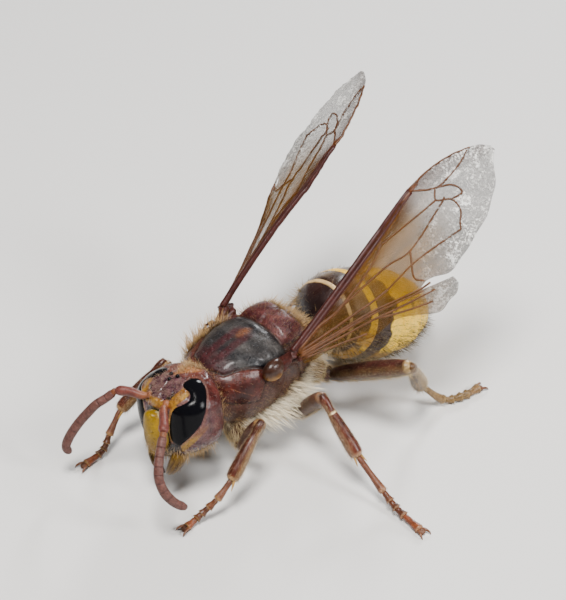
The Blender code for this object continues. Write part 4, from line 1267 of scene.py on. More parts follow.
def head_hair(round_by, up_by, eye_in, face_in):
    """Short hair on the brow and crown, longer under the chin and behind."""
    a = np.abs(round_by)
    bare = 1 - np.clip(smooth(-1.5, 0.0, eye_in) + smooth(-1.0, 0.5, face_in), 0, 1)
    top = smooth(44, 58, up_by) * (1 - smooth(95, 125, a) * 0.4)
    chin = 1 - smooth(-44, -28, up_by)
    rear = smooth(142, 160, a)
    fuzz = (a < 75) * smooth(34, 42, up_by) * (1 - smooth(80, 88, up_by))
    far_cheek = smooth(55, 90, -round_by)
    weight = bare * np.clip(0.10 + 0.60 * fuzz + 0.3 * chin + 0.6 * rear + 0.2 * far_cheek, 0, 1)
    bristle = bare * (0.10 + 0.3 * top + 0.5 * chin)
    length = 0.13 + 0.09 * fuzz + 0.24 * chin + 0.26 * rear + 0.05 * far_cheek
    tint = mix(FACE_HAIR, NAPE_HAIR, np.clip(chin + rear, 0, 1))
    lie = np.zeros((*a.shape, 3))
    lie[..., 2] = -0.25 - 0.35 * chin
    return weight, bristle, length, lie, tint


def make_head():
    """Head skin with its brow, sockets, markings and coat."""
    round_by, up_by, out = head_grid()
    plain = head_surface(out)
    a = np.abs(round_by)
    eye_in = outline_distance(a, up_by, EYE_LOOP)
    face_in = outline_distance(round_by, up_by, CLYPEUS_LOOP)
    rings = turned(plain + out * head_lift(plain, round_by, up_by, eye_in, face_in)[..., None])
    heap = Heap()
    paint = head_colours(rings, a, up_by, eye_in, face_in)
    heap.add(rings, paint, head_hair(round_by, up_by, eye_in, face_in))
    made = show(heap.make("head_skin", MATERIALS["head"]), "head_shell", "head")
    coats(made, "head_shell", 200, 1.5e8, 1.6e7, 2.1)


# How far a pad's arch is kept from the head, how softly, how far its edge sinks, and over how many rows its
# height is evened out
PAD_LOW = 0.06
PAD_SOFT = 0.004
PAD_EDGE = 0.05
PAD_EVEN = 9


def pad(inner, outer, bulge, depth, rows, columns, square=6):
    """Rings of a pad on the head between two edges of directions, domed by bulge and sunk by depth."""
    shares = np.linspace(0.0, 1.0, rows)
    first = fine_line(inner, 12)
    last = fine_line(outer, 12)
    spots = np.linspace(0, len(first) - 1, rows)
    a = np.stack([np.interp(spots, np.arange(len(first)), first[:, i]) for i in (0, 1)], -1)
    b = np.stack([np.interp(spots, np.arange(len(last)), last[:, i]) for i in (0, 1)], -1)
    w = -np.cos(np.linspace(0, math.pi, columns))
    ends = np.sqrt(np.maximum(0.0, 1 - np.abs(2 * shares - 1) ** square))
    rise = np.sqrt(np.maximum(0.0, 1 - w ** 2))[None] * ends[:, None]
    spread = a[:, None] + (b - a)[:, None] * ((w + 1) / 2)[None, :, None]
    out = ways(spread[..., 0], spread[..., 1])
    reach = np.linalg.norm(head_surface(out) - np.asarray(SKULL_CENTRE), axis=-1)
    middle = reach[:, columns // 2]
    kernel = np.hanning(PAD_EVEN)[1:-1] / np.hanning(PAD_EVEN)[1:-1].sum()
    middle = np.convolve(np.pad(middle, PAD_EVEN // 2 - 1, mode="edge"), kernel, "valid")
    edges = reach[:, :1] + (reach[:, -1:] - reach[:, :1]) * ((w + 1) / 2)[None]
    arch = edges + (middle[:, None] - (reach[:, :1] + reach[:, -1:]) / 2) * (1 - w ** 2)[None]
    low = reach - PAD_LOW
    arch = (arch + low + np.sqrt((arch - low) ** 2 + PAD_SOFT)) / 2
    surface = np.asarray(SKULL_CENTRE) + out * arch[..., None]
    top = surface + out * (bulge * rise - PAD_EDGE)[..., None]
    under = surface - out * (depth * rise + PAD_EDGE)[..., None]
    rings = np.concatenate([top, under[:, ::-1][:, 1:-1]], 1)
    return rings, spread


# Eye colours, with roughness last
EYE_BLACK = (0.008, 0.008, 0.010, 0.10)
OCELLUS_BLACK = (0.012, 0.010, 0.010, 0.08)
OCELLI = ((0, 75), (66, 82), (-66, 82))
OCELLUS_SIZE = (0.15, 0.15, 0.15)


def make_eyes():
    """The two large eyes, and the three small ones on the crown."""
    for side in SIDES:
        rings, _ = pad(EYE_INNER, EYE_OUTER, 0.15, 0.35, 72, 48)
        rings[..., 0] *= side
        heap = Heap()
        heap.add(turned(rings), EYE_BLACK)
        name = side_name("eye", side)
        show(heap.make(f"{name}_glass", MATERIALS["eye"]), "eye_shell", name)
    heap = Heap()
    for round_by, up_by in OCELLI:
        place = head_surface(ways(round_by, up_by)[None])[0] + (0, 0, 0.05)
        heap.add(turned(ball(place, OCELLUS_SIZE, 14, 18)), OCELLUS_BLACK)
    show(heap.make("ocelli", MATERIALS["eye"]), "eye_shell")


# Clypeus colours
MUSTARD = (0.230, 0.135, 0.001)
MUSTARD_LOW = (0.15, 0.078, 0.002)
MUSTARD_SIDE = (0.21, 0.115, 0.004)
CLYPEUS_RIM = (0.40, 0.31, 0.13)
CLYPEUS_TIP = (0.050, 0.020, 0.008)
CLYPEUS_HAIR = (0.44, 0.27, 0.08)


def make_clypeus():
    """The mustard plate over the mouth, with a pale rim, a dark tip and hair that hangs from its end."""
    inner = [(-width, up) for up, width in CLYPEUS]
    outer = [(width, up) for up, width in CLYPEUS]
    rings, spread = pad(inner, outer, 0.85, 0.30, 64, 56, 3)
    full = np.concatenate([spread, spread[:, ::-1][:, 1:-1]], 1)
    across, up_by = full[..., 0], full[..., 1]
    ups, widths = np.array(CLYPEUS[::-1]).T
    edge = np.abs(across) / np.maximum(np.interp(up_by, ups, widths), 1.0)
    paint = mix(MUSTARD, MUSTARD_LOW, 1 - smooth(-32, -8, up_by))
    paint = mix(paint, MUSTARD_SIDE, smooth(0.5, 0.8, edge))
    paint = mix(paint, CLYPEUS_RIM, smooth(0.88, 0.98, edge) * smooth(-30, -10, up_by))
    paint = mix(paint, CLYPEUS_TIP, 1 - smooth(-39, -35, up_by))
    low = 1 - smooth(-36, -20, up_by)
    weight = np.where(np.arange(full.shape[1]) < spread.shape[1], 0.04 + 0.7 * low, 0.0)
    hair = (weight, weight * 0.6, 0.16 + 0.25 * low, (0.0, 0.0, -0.9), CLYPEUS_HAIR)
    heap = Heap()
    heap.add(turned(rings), with_roughness(paint, 0.42), hair)
    made = show(heap.make("clypeus_plate", MATERIALS["clypeus"]), "clypeus_shell", "clypeus")
    coats(made, "clypeus_shell", 300, 1.6e8, 2e7, 1.4)


# Jaw colours
JAW_OCHRE = (0.115, 0.060, 0.004)
JAW_STRIPE = (0.030, 0.011, 0.004)
JAW_DARK = (0.03, 0.012, 0.008)
JAW_HAIR = (0.36, 0.20, 0.06)

JAW_ROWS = 60
JAW_COLUMNS = 36


def make_mandibles():
    """The two jaws, striped along, toothed inside and dark at root and tip."""
    shares = np.linspace(0, 1, JAW_ROWS)
    path = path_points(MANDIBLE, shares)
    radii = along([(i / 4, r) for i, r in enumerate(MANDIBLE_RADII)], shares)[:, 0]
    t = np.repeat(shares[:, None], JAW_COLUMNS, 1)
    angle = np.arange(JAW_COLUMNS) / JAW_COLUMNS * 2 * math.pi
    teeth = smooth(0.62, 0.75, t) * np.maximum(0, np.sin(t * 46)) * np.maximum(0, np.cos(angle))[None]
    stripes = 0.5 + 0.5 * np.sin(angle * 9 + 1.0)[None] * np.ones_like(t)
    paint = mix(JAW_OCHRE, JAW_STRIPE, stripes * smooth(0.10, 0.4, t) * 0.85)
    paint = mix(paint, JAW_DARK, smooth(0.74, 0.9, t))
    paint = mix(paint, JAW_DARK, 1 - smooth(0.10, 0.17, t))
    lie = around(unit(np.gradient(path, axis=0)), JAW_COLUMNS) * 1.2
    base = 1 - smooth(0.6, 0.8, t)
    hair = (0.15 * base, 0.2 * base, 0.22, lie, JAW_HAIR)
    for side in SIDES:
        rings = tube_rings(path, radii, JAW_COLUMNS, 0.62, 1.0)
        rings[..., 0] *= side
        rings[..., 2] -= 0.10 * teeth
        heap = Heap()
        heap.add(turned(rings), with_roughness(paint, 0.33), hair)
        name = side_name("mandible", side)
        made = show(heap.make(f"{name}_jaw", MATERIALS["jaw"]), "jaw_shell", name)
        coats(made, "jaw_shell", 310 + side, 1.0e8, 2e7, 1.2)


# Feelers: thickness along each part as (share, radius), and colours
SCAPE_RADII = ((0, 0.22), (0.05, 0.27), (0.12, 0.20), (0.3, 0.25), (0.7, 0.29), (0.95, 0.28), (1, 0.2))
WHIP_RADII = ((0, 0.27), (0.1, 0.28), (0.5, 0.31), (0.85, 0.29), (0.97, 0.24), (1, 0.17))
SCAPE_ROOT = (0.20, 0.070, 0.030)
SCAPE_RED = (0.125, 0.034, 0.026)
WHIP_BROWN = (0.105, 0.043, 0.034)
WHIP_END = (0.058, 0.021, 0.018)
WHIP_START = (0.055, 0.018, 0.018)
PEDICEL_RED = (0.15, 0.050, 0.022)

# How much of the whip its first small joint takes, and how many joints follow
PEDICEL_SHARE = 0.055
WHIP_JOINTS = 10


def make_scape(side):
    """The long first part of a feeler."""
    shares = np.linspace(0, 1, 40)
    radii = along(SCAPE_RADII, shares)[:, 0]
    paint = around(mix(SCAPE_ROOT, SCAPE_RED, smooth(0.1, 0.6, shares)), 24)
    heap = Heap()
    heap.add(tube_rings(path_points(SCAPES[side], shares), radii, 24), with_roughness(paint, 0.36))
    made = heap.make(side_name("scape", side), MATERIALS["feeler"])
    show(made, "feeler_shell", side_name("antenna_scape", side))


def make_whip(side):
    """A feeler's small second joint and the ten joints after it, each darker at both ends."""
    joints = np.linspace(0, 1, WHIP_JOINTS + 1)[1:] ** 0.97
    ends = np.concatenate([[0.0, PEDICEL_SHARE], PEDICEL_SHARE + (1 - PEDICEL_SHARE) * joints])
    shares = np.linspace(0, 1, 16)
    neck = 1 - 0.16 * (1 - smooth(0.0, 0.14, shares)) - 0.22 * smooth(0.94, 1.0, shares)
    ringed = mix(WHIP_BROWN, WHIP_END, smooth(0.80, 0.95, shares))
    ringed = mix(ringed, WHIP_START, 1 - smooth(0.0, 0.10, shares))
    heap = Heap()
    for first, last in zip(ends, ends[1:]):
        span = last - first
        path = path_points(FEELERS[side], first + span * (shares * 1.10 - 0.06))
        size = along(WHIP_RADII, first + span * shares)[:, 0]
        colour = ringed
        if first == 0.0:
            size = size * 0.82
            colour = np.tile(PEDICEL_RED, (len(shares), 1))
        heap.add(tube_rings(path, size * neck, 20), with_roughness(around(colour, 20), 0.48))
    made = heap.make(side_name("flagellum", side), MATERIALS["feeler"])
    show(made, "feeler_shell", side_name("antenna_flagellum", side))


def make_feelers():
    """Both feelers."""
    for side in SIDES:
        make_scape(side)
        make_whip(side)


# Tail

def tail_rings(stations, grow, columns):
    """Rings of the tail at stations counted along TAIL, grown by a height for each."""
    rows = [(i, *row) for i, row in enumerate(TAIL)]
    y, z, half, tall = along(rows, stations).T
    lean = along(TAIL_SLOPE, y)[:, 0]
    way = unit(np.stack([np.zeros_like(lean), np.ones_like(lean), lean], -1))
    up = np.stack([np.zeros_like(lean), -way[:, 2], way[:, 1]], -1)
    angles = 2 * math.pi * (np.arange(columns) + 0.5) / columns
    grow = np.asarray(grow, float)[:, None] * np.ones(len(stations))[:, None]
    centre = np.stack([np.zeros_like(y), y, z], -1)
    across = np.zeros((len(stations), columns, 3))
    across[..., 0] = np.cos(angles)[None] * (half[:, None] + grow)
    over = up[:, None] * (np.sin(angles)[None] * (tall[:, None] + grow))[..., None]
    return centre[:, None] + across + over, angles


# Tail colours
TAIL_YELLOW = (0.95, 0.500, 0.006)
TAIL_FLANK = (1.00, 0.640, 0.050)
FIRST_BLACK = (0.012, 0.006, 0.006)
FIRST_BROWN = (0.030, 0.014, 0.012)
FIRST_RIM = (0.66, 0.440, 0.190)
SECOND_BROWN = (0.034, 0.017, 0.011)
SECOND_TAUPE = (0.130, 0.090, 0.058)
SECOND_BAND = (0.85, 0.480, 0.018)
SECOND_FLANK = (0.40, 0.20, 0.02)
THIRD_BROWN = (0.028, 0.011, 0.007)
THIRD_TAUPE = (0.090, 0.055, 0.034)
THIRD_SPOT = (0.050, 0.018, 0.008)
JOINT_ORANGE = (0.30, 0.120, 0.012)
SPOT_BROWN = (0.085, 0.030, 0.010)
RIM_ORANGE = (0.46, 0.21, 0.012)
BELLY_YELLOW = (0.38, 0.190, 0.022)
BELLY_BROWN = (0.045, 0.018, 0.010)
BELLY_DARK = (0.040, 0.016, 0.010)
TAIL_HAIR = (0.46, 0.28, 0.08)
TAIL_FLANK_HAIR = (0.55, 0.40, 0.18)
FIRST_HAIR = (0.50, 0.34, 0.16)
FIRST_FRONT_HAIR = (0.66, 0.52, 0.32)


def first_ring(t, side, scallop):
    """Black, browner on the flanks, with a narrow pale rim."""
    paint = mix(FIRST_BLACK, FIRST_BROWN, band(side, 30, 14, 26) * smooth(0.4, 0.85, t))
    return mix(paint, FIRST_RIM, smooth(0.905, 0.935, t + 0.2 * scallop))


def second_ring(t, side, scallop):
    """Brown with a taupe cloud on each side and a yellow hind band."""
    cloud = band(side, 38, 14, 12) * band(t, 0.55, 0.2, 0.15)
    paint = mix(SECOND_BROWN, SECOND_TAUPE, cloud)
    paint = mix(paint, SECOND_BAND, smooth(0.74, 0.80, t + 0.6 * scallop))
    return mix(paint, SECOND_FLANK, band(side, 100, 8, 8) * smooth(0.40, 0.5, t + scallop))


def third_ring(t, side, scallop, yellow):
    """Brown in front and yellow behind a scalloped edge, with a dark spot on each side."""
    edge = 0.56 - 0.12 * band(side, 0, 8, 16) + scallop - 0.08 * band(side, 78, 3, 8)
    cloud = band(side, 40, 12, 14) * band(t, 0.2, 0.12, 0.1)
    brown = mix(THIRD_BROWN, THIRD_TAUPE, cloud)
    paint = brown + (yellow - brown) * smooth(-0.02, 0.02, t - edge)[..., None]
    return mix(paint, THIRD_SPOT, band(np.hypot((side - 50) / 12, (t - 0.62) / 0.12), 0, 0.6, 0.4))


def yellow_ring(number, t, side, yellow):
    """Yellow with an orange joint and rim and, before the last ring, a small brown spot on each side."""
    paint = mix(JOINT_ORANGE, yellow, smooth(0.0, 0.06, t))
    if number < 6:
        spot = band(np.hypot((side - 50) / 8, (t - 0.55) / 0.11), 0, 0.6, 0.5)
        paint = mix(paint, SPOT_BROWN, spot * 0.85)
    return mix(paint, RIM_ORANGE, smooth(0.92, 0.98, t) * 0.6)


def tail_paint(number, share, angles):
    """Colour of ring number, from 1 to 6, at a share of the way to its rim and an angle, with 90 on top."""
    t, a = np.meshgrid(share, angles, indexing="ij")
    side = np.degrees(np.arccos(np.clip(np.sin(a), -1, 1)))
    scallop = 0.030 * np.cos(a * 6) + 0.012 * np.sin(a * 23)
    yellow = mix(TAIL_YELLOW, TAIL_FLANK, smooth(40, 85, side))
    under = mix(BELLY_YELLOW, BELLY_BROWN, 1 - smooth(0.35, 0.55, t + scallop))
    if number == 1:
        paint = first_ring(t, side, scallop)
        under = mix(under, BELLY_DARK, np.ones_like(t) * 0.8)
    elif number == 2:
        paint = second_ring(t, side, scallop)
    elif number == 3:
        paint = third_ring(t, side, scallop, yellow)
    else:
        paint = yellow_ring(number, t, side, yellow)
    return mix(paint, under, smooth(112, 122, side))


def tail_hair(number, share, angles):
    """Weights, length, colour and lie of the hair on a ring."""
    t, a = np.meshgrid(share, angles, indexing="ij")
    side = np.degrees(np.arccos(np.clip(np.sin(a), -1, 1)))
    flank = smooth(60, 105, side)
    rim = smooth(0.85, 0.95, t)
    weight = 0.04 + 0.14 * flank + 0.05 * rim
    length = 0.16 + 0.14 * flank
    bristle = 0.35 + 0.6 * flank + 0.3 * rim
    tint = mix(TAIL_HAIR, TAIL_FLANK_HAIR, flank)
    if number == 1:
        front = 1 - smooth(0.12, 0.40, t)
        flank = smooth(38, 80, side)
        weight = 0.03 + 1.2 * front + 0.5 * smooth(0.90, 0.95, t) + 0.45 * flank
        length = 0.18 + 0.18 * front + 0.16 * flank
        bristle = 0.10 + 0.6 * front + 1.1 * flank
        tint = mix(FIRST_HAIR, FIRST_FRONT_HAIR, front)
    if number == 2:
        weight = 0.08 + 0.3 * smooth(45, 90, side)
    lie = np.zeros((*t.shape, 3))
    lie[..., 1] = 0.95
    lie[..., 2] = -0.45
    if number == 1:
        lie *= (1 - 0.9 * np.maximum(front, 0.8 * flank))[..., None]
    return weight * (t > 0.001), bristle * (t > 0.001), length, lie, tint


# Rows and columns of a ring, and how far its front is tucked under the ring before
TAIL_ROWS = 44
TAIL_COLUMNS = 160
LAST_RING = len(TAIL_SEAMS) - 1
TUCK = 0.35


def ring_grow(number, first, last, share):
    """Stations of a ring and how far it stands off the plain tail, with its rim turned in at the end."""
    tuck = 0.0 if number == 1 else TUCK
    stations = first - tuck + (last - first + tuck) * share
    grow = 0.05 * (2 * share - 1) - 0.10 * (1 - smooth(0.0, 0.30, share)) * (number > 1)
    grow = grow + 0.025 * smooth(0.90, 0.94, share)
    if number == LAST_RING:
        return stations, grow - 0.05 * smooth(0.8, 1.0, share)
    stations = np.append(stations, [last + 0.02, last - 0.02, last - 0.25])
    return stations, np.append(grow, [grow[-1] - 0.03, grow[-1] - 0.09, grow[-1] - 0.16])


def make_ring(number, first, last):
    """One ring of the tail with its markings and coat."""
    stations, grow = ring_grow(number, first, last, np.linspace(0, 1, TAIL_ROWS))
    rings, angles = tail_rings(stations, grow, TAIL_COLUMNS)
    visible = np.clip((stations - first) / (last - first), 0, 1)
    side = np.degrees(np.arccos(np.clip(np.sin(angles), -1, 1)))
    lap = 0.05 * (smooth(106, 114, side) - smooth(114, 117, side))
    dent = 0.012 * ripple(rings, 1.1, 20 + number)
    rings = rings + grown_normals(rings) * (dent - lap[None])[..., None]
    rough = 0.30 + 0.05 * ripple(rings, 0.8, 40 + number)
    paint = np.concatenate([tail_paint(number, visible, angles), rough[..., None]], -1)
    weight, bristle, length, lie, tint = tail_hair(number, visible, angles)
    outside = (np.arange(len(stations)) < TAIL_ROWS)[:, None]
    clear = 0.15 + 0.85 * smooth(FLOOR + 0.2, FLOOR + 1.6, rings[..., 2])
    heap = Heap()
    heap.add(rings, paint, (weight * outside, bristle * outside, length * clear, lie, tint))
    name = f"gaster_{number}"
    slot = "tail_dark_shell" if number < 3 else "tail_yellow_shell"
    skin = show(heap.make(f"{name}_skin", MATERIALS["tail"]), slot, name)
    coats(skin, slot, 400 + 10 * number, long=2.8, kind="hair" if number == 1 else "dark_hair")


def make_tail():
    """All the rings of the tail."""
    for number, (first, last) in enumerate(zip(TAIL_SEAMS, TAIL_SEAMS[1:]), 1):
        make_ring(number, first, last)


# Wings

def wing_place(side, u, v, height):
    """Points on a wing from its own frame, arrays of along, across and height."""
    u, v, height = np.broadcast_arrays(*(np.asarray(value, float) for value in (u, v, height)))
    forward, up = np.asarray(WING_ALONG[side]), np.asarray(WING_UP[side])
    chord = np.cross(forward, up)
    turn = WING_TWIST[side] * np.clip(1 - u / TWIST_END, 0, 1)
    c, s = np.cos(turn)[..., None], np.sin(turn)[..., None]
    fold = along(FOLD_LINE, u.ravel())[:, 0].reshape(u.shape)
    bend = -WING_CAMBER * v * v - REAR_DROOP * np.maximum(0.0, v - fold)
    points = (
        np.asarray(WING_ROOT)
        + forward * u[..., None]
        + (chord * c - up * s) * v[..., None]
        + (up * c + chord * s) * (height + bend)[..., None]
    )
    points[..., 0] *= side
    return points


def film_wave(u, v, seed):
    """How far the film stands off the wing's plane, in folds and small crumples."""
    flat = np.stack([u * 0.45, v, np.zeros_like(u)], -1)
    rough = np.stack([u, v, np.zeros_like(u)], -1)
    outer = smooth(3.0, 11.0, u)
    crumple = smooth(9.0, 13.0, u + 0.6 * v)
    return (
        (0.045 * ripple(flat, 1.9, seed) + 0.022 * ripple(rough, 0.8, seed + 1)) * (0.3 + 0.7 * outer)
        + 0.022 * ripple(rough, 0.5, seed + 2) * crumple
    )


# Half the film's thickness, the least radius of a vein, and how deep the rear edge's waves are
FILM = 0.05
THINNEST_VEIN = 0.068
VEIN_COLUMNS = 10
PLAIN_SCALLOP = 0.12
FAR_SCALLOP = 0.34


def film_rings(side, first_edge, last_edge, stations, columns, seed, scallop):
    """Rings of a film between two edges, wavy along its rear edge, with the along and across of its top."""
    u = stations[:, None] * np.ones((1, columns))
    a = along(first_edge, stations)[:, 0][:, None]
    b = along(last_edge, stations)[:, 0][:, None]
    w = (1 - np.cos(np.linspace(0, math.pi, columns))) / 2
    waver = ripple(np.stack([stations, stations * 0, stations * 0], -1), 2.0, seed + 5)
    reach = 0.03 + scallop * smooth(6, 11, stations) * (1 - smooth(16.5, 18.2, stations))
    b = b + (reach * (waver - 0.4))[:, None]
    v = a + (b - a) * w[None]
    wave = film_wave(u, v, seed)
    top = wing_place(side, u, v, wave + FILM)
    under = wing_place(side, u, v, wave - FILM)
    return np.concatenate([top, under[:, ::-1]], 1), u, v


def vein_rings(side, points, radii, seed):
    """Rings of a vein along a line of (along, across) on a wing."""
    shares = np.linspace(0, 1, 8 * (len(points) - 1) + 1)
    line = path_points([(*p, 0.0) for p in points], shares)
    u, v = line[:, 0], line[:, 1]
    path = wing_place(side, u, v, film_wave(u, v, seed))
    size = np.maximum(np.interp(shares, np.linspace(0, 1, len(radii)), radii), THINNEST_VEIN)
    return tube_rings(path, size, VEIN_COLUMNS)


# Veins as lines of (along, across), with radii from root to tip
FORE_VEINS = (
    (
        ((0.5, -0.30), (1.8, -0.46), (5.4, -0.95), (8.8, -1.47), (11.0, -1.80), (13.1, -2.09)),
        (0.24, 0.21, 0.17, 0.12),
    ),
    (((0.7, -0.12), (5.6, -0.72), (9.4, -1.25), (13.1, -1.84)), (0.17, 0.15, 0.12, 0.08)),
    (((13.1, -2.09), (14.4, -2.10), (15.5, -1.96), (16.7, -1.64), (17.75, -1.16)), (0.09, 0.06, 0.04)),
    (((13.1, -1.95), (14.3, -0.95), (15.4, -0.80), (16.6, -0.90), (17.5, -1.15)), (0.07, 0.06, 0.04)),
    (((0.8, -0.02), (2.8, -0.16), (4.5, 0.0), (7.8, -0.4), (9.2, -0.9), (9.5, -1.25)), (0.15, 0.09, 0.06)),
    (((9.2, -0.9), (11.6, -0.6), (13.8, -0.35)), (0.06, 0.055)),
    (((4.5, 0.0), (8.4, 0.3), (10.3, 0.7), (13.6, 0.1), (14.3, -0.1)), (0.06, 0.055, 0.05)),
    (
        ((14.3, -0.95), (13.8, -0.35), (14.5, 0.35), (14.4, 1.2), (13.8, 1.75), (13.5, 2.1)),
        (0.05, 0.05, 0.04),
    ),
    (((14.3, -0.95), (15.2, -0.3), (15.3, 0.5), (14.5, 0.35)), (0.05, 0.045)),
    (((0.7, 0.06), (4.0, 0.75), (7.2, 1.35), (10.2, 1.45), (13.5, 2.1)), (0.13, 0.08, 0.06, 0.04)),
    (((10.3, 0.7), (9.7, 1.4), (9.2, 2.1), (9.5, 2.7)), (0.05, 0.05, 0.04)),
    (
        ((0.7, 0.2), (2.8, 0.8), (5.6, 1.58), (7.4, 2.26), (8.9, 2.85), (9.7, 3.02)),
        (0.12, 0.08, 0.06, 0.05),
    ),
)
HIND_VEINS = (
    (((0.6, 0.30), (2.8, 0.92), (5.6, 1.72), (7.4, 2.42), (9.0, 3.05)), (0.12, 0.08, 0.05)),
    (((0.7, 0.45), (3.3, 1.3), (5.6, 2.05), (7.4, 2.75), (9.6, 3.5)), (0.09, 0.06, 0.04)),
    (((5.6, 2.05), (7.2, 3.0), (9.0, 3.9)), (0.05, 0.04)),
    (((0.7, 0.55), (2.8, 1.45), (4.6, 2.3)), (0.07, 0.04)),
)


# Wing colours, those of the veins with roughness last
FILM_INNER = (0.120, 0.052, 0.002)
FILM_MIDDLE = (0.175, 0.080, 0.003)
FILM_OUTER = (0.060, 0.050, 0.038)
FILM_LEAD = (0.050, 0.012, 0.007)
STRONG_VEIN = (0.042, 0.010, 0.008, 0.34)
FINE_VEIN = (0.085, 0.030, 0.009, 0.38)
STIGMA_BROWN = (0.085, 0.026, 0.008, 0.30)
KNOB_BROWN = (0.050, 0.013, 0.010, 0.40)

# Where the stigma starts along the wing, its length and half width; the root knob's radii; how many fore
# wing veins are strong; and where the film starts
STIGMA_START = 11.9
STIGMA_LENGTH = 2.0
STIGMA_HALF = 0.17
KNOB_RADII = ((0, 0.05), (0.08, 0.30), (0.3, 0.34), (0.6, 0.46), (0.9, 0.50), (1, 0.2))
STRONG_VEINS = 2
WING_START = 0.5

# For each wing: its front and rear edges, how far it reaches, and where its lumpy root leaves the film, as
# (along, across), and ends in the thorax
WINGS = {
    "forewing": {
        "front": LEAD_EDGE,
        "rear": [(u, v - 0.02) for u, v in FOLD_LINE] + list(REAR_EDGE[1:]),
        "end": 18.72, "rows": 150, "columns": 40, "seed": 60, "veins": FORE_VEINS,
        "knob_start": (0.75, -0.12), "knob_end": (2.55, -0.70, -0.05),
    },
    "hindwing": {
        "front": [(u, v + 0.02) for u, v in FOLD_LINE[:-1]] + [(10.2, 3.45), (11.0, 3.75)],
        "rear": HIND_EDGE,
        "end": 11.0, "rows": 90, "columns": 24, "seed": 70, "veins": HIND_VEINS,
        "knob_start": (0.85, 0.5), "knob_end": (2.45, 0.35, 0.1),
    },
}


def film_paint(u, v, outer):
    """Amber film, dark along its front, golden in the middle and grey outside, with its cover last."""
    lead = 1 - smooth(0.0, 1.6, v - along(LEAD_EDGE, u.ravel())[:, 0].reshape(u.shape))
    middle = band(u - 0.5 * v, 9.6, 1.9, 3.0)
    colour = mix(FILM_INNER, FILM_MIDDLE, middle)
    colour = mix(colour, FILM_OUTER, outer)
    colour = mix(colour, FILM_LEAD, lead * 0.85)
    cover = 0.33 + 0.34 * middle * (1 - 0.7 * outer) + 0.05 * outer + 0.34 * lead * (1 - 0.5 * outer)
    return np.concatenate([colour, cover[..., None]], -1)


def stigma_rings(side, seed):
    """Rings of the thickened spot on the leading edge."""
    u = np.linspace(STIGMA_START, STIGMA_START + STIGMA_LENGTH, 24)
    path = wing_place(side, u, along(LEAD_EDGE, u)[:, 0] + 0.16, film_wave(u, u * 0 - 1.9, seed))
    share = 2 * (u - STIGMA_START) / STIGMA_LENGTH - 1
    return tube_rings(path, STIGMA_HALF * np.sqrt(np.maximum(0.02, 1 - share ** 2)), 16, 1.0, 0.55)


def knob_rings(side, start, end):
    """Rings of the lumpy root that joins a wing to the thorax."""
    share = np.linspace(0, 1, 30)[:, None]
    root = wing_place(side, *start, 0.0)
    path = root * (1 - share) + np.array(end) * (side, 1, 1) * share
    knob = tube_rings(path, along(KNOB_RADII, share[:, 0])[:, 0], 24, 1.0, 0.8)
    return knob + 0.07 * ripple(knob, 0.6, 80)[..., None]


def make_wing(name, side):
    """The film of one wing, and its veins, stigma and root."""
    wing = WINGS[name]
    seed = wing["seed"]
    reach = wing["end"] - WING_START
    stations = WING_START + reach * np.sin(np.linspace(0, math.pi / 2, wing["rows"]))
    scallop = FAR_SCALLOP if side == RIGHT and name == "forewing" else PLAIN_SCALLOP
    rings, u, v = film_rings(side, wing["front"], wing["rear"], stations, wing["columns"], seed, scallop)
    outer = smooth(10.5, 15.8, u + 0.9 * v)
    paint = film_paint(u, v, outer)
    film = Heap()
    film.add(rings, np.concatenate([paint, paint[:, ::-1]], 1))
    full = side_name(name, side)
    made = film.make(f"{full}_film", MATERIALS["film"])
    both = np.concatenate([outer, outer[:, ::-1]], 1)
    set_values(made, "outer", np.concatenate([both.ravel(), [both[0, 0], both[-1, -1]]]))
    show(made, "wing_film", full)
    ribs = Heap()
    for k, (points, radii) in enumerate(wing["veins"]):
        strong = k < STRONG_VEINS and name == "forewing"
        ribs.add(vein_rings(side, points, radii, seed), STRONG_VEIN if strong else FINE_VEIN)
    if name == "forewing":
        ribs.add(stigma_rings(side, seed), STIGMA_BROWN)
    ribs.add(knob_rings(side, wing["knob_start"], wing["knob_end"]), KNOB_BROWN)
    show(ribs.make(f"{full}_veins", MATERIALS["vein"]), "wing_film")


def make_wings():
    """All four wings."""
    for name in WINGS:
        for side in SIDES:
            make_wing(name, side)


# Legs

LIMB_COLUMNS = 28


def limb_rings(a, b, keys, rows=40, flat=1.0, over=1.0, bow=0.0):
    """Rings of a limb from a to b whose radius follows keys of (share, radius), bowed a little upwards."""
    shares = np.linspace(0, 1, rows)
    a, b = np.asarray(a, float), np.asarray(b, float)
    path = a + (b - a) * shares[:, None]
    path[:, 2] += bow * np.sin(shares * math.pi)
    radii = along(keys, shares)[:, 0]
    return tube_rings(path, radii, LIMB_COLUMNS, flat, over), shares


# Leg colours: of the thigh, the shin and the pale joints, then of the coxa, shin hair and foot
LEG_COLOURS = {
    "fore": ((0.036, 0.010, 0.007), (0.060, 0.015, 0.008), (0.32, 0.180, 0.070)),
    "mid": ((0.036, 0.010, 0.007), (0.080, 0.018, 0.010), (0.30, 0.160, 0.085)),
    "hind": ((0.032, 0.009, 0.007), (0.105, 0.056, 0.016), (0.34, 0.220, 0.085)),
}
COXA_BROWN = (0.060, 0.018, 0.010)
SHIN_HAIR = (0.56, 0.42, 0.24)
PAD_BROWN = (0.11, 0.050, 0.030, 0.6)
SPUR_OCHRE = (0.36, 0.20, 0.05, 0.3)
CLAW_BROWN = (0.140, 0.055, 0.026, 0.3)
FOOT_COLOURS = (
    (0.150, 0.060, 0.034), (0.110, 0.040, 0.018), (0.085, 0.030, 0.014), (0.085, 0.030, 0.014),
    (0.190, 0.052, 0.018),
)

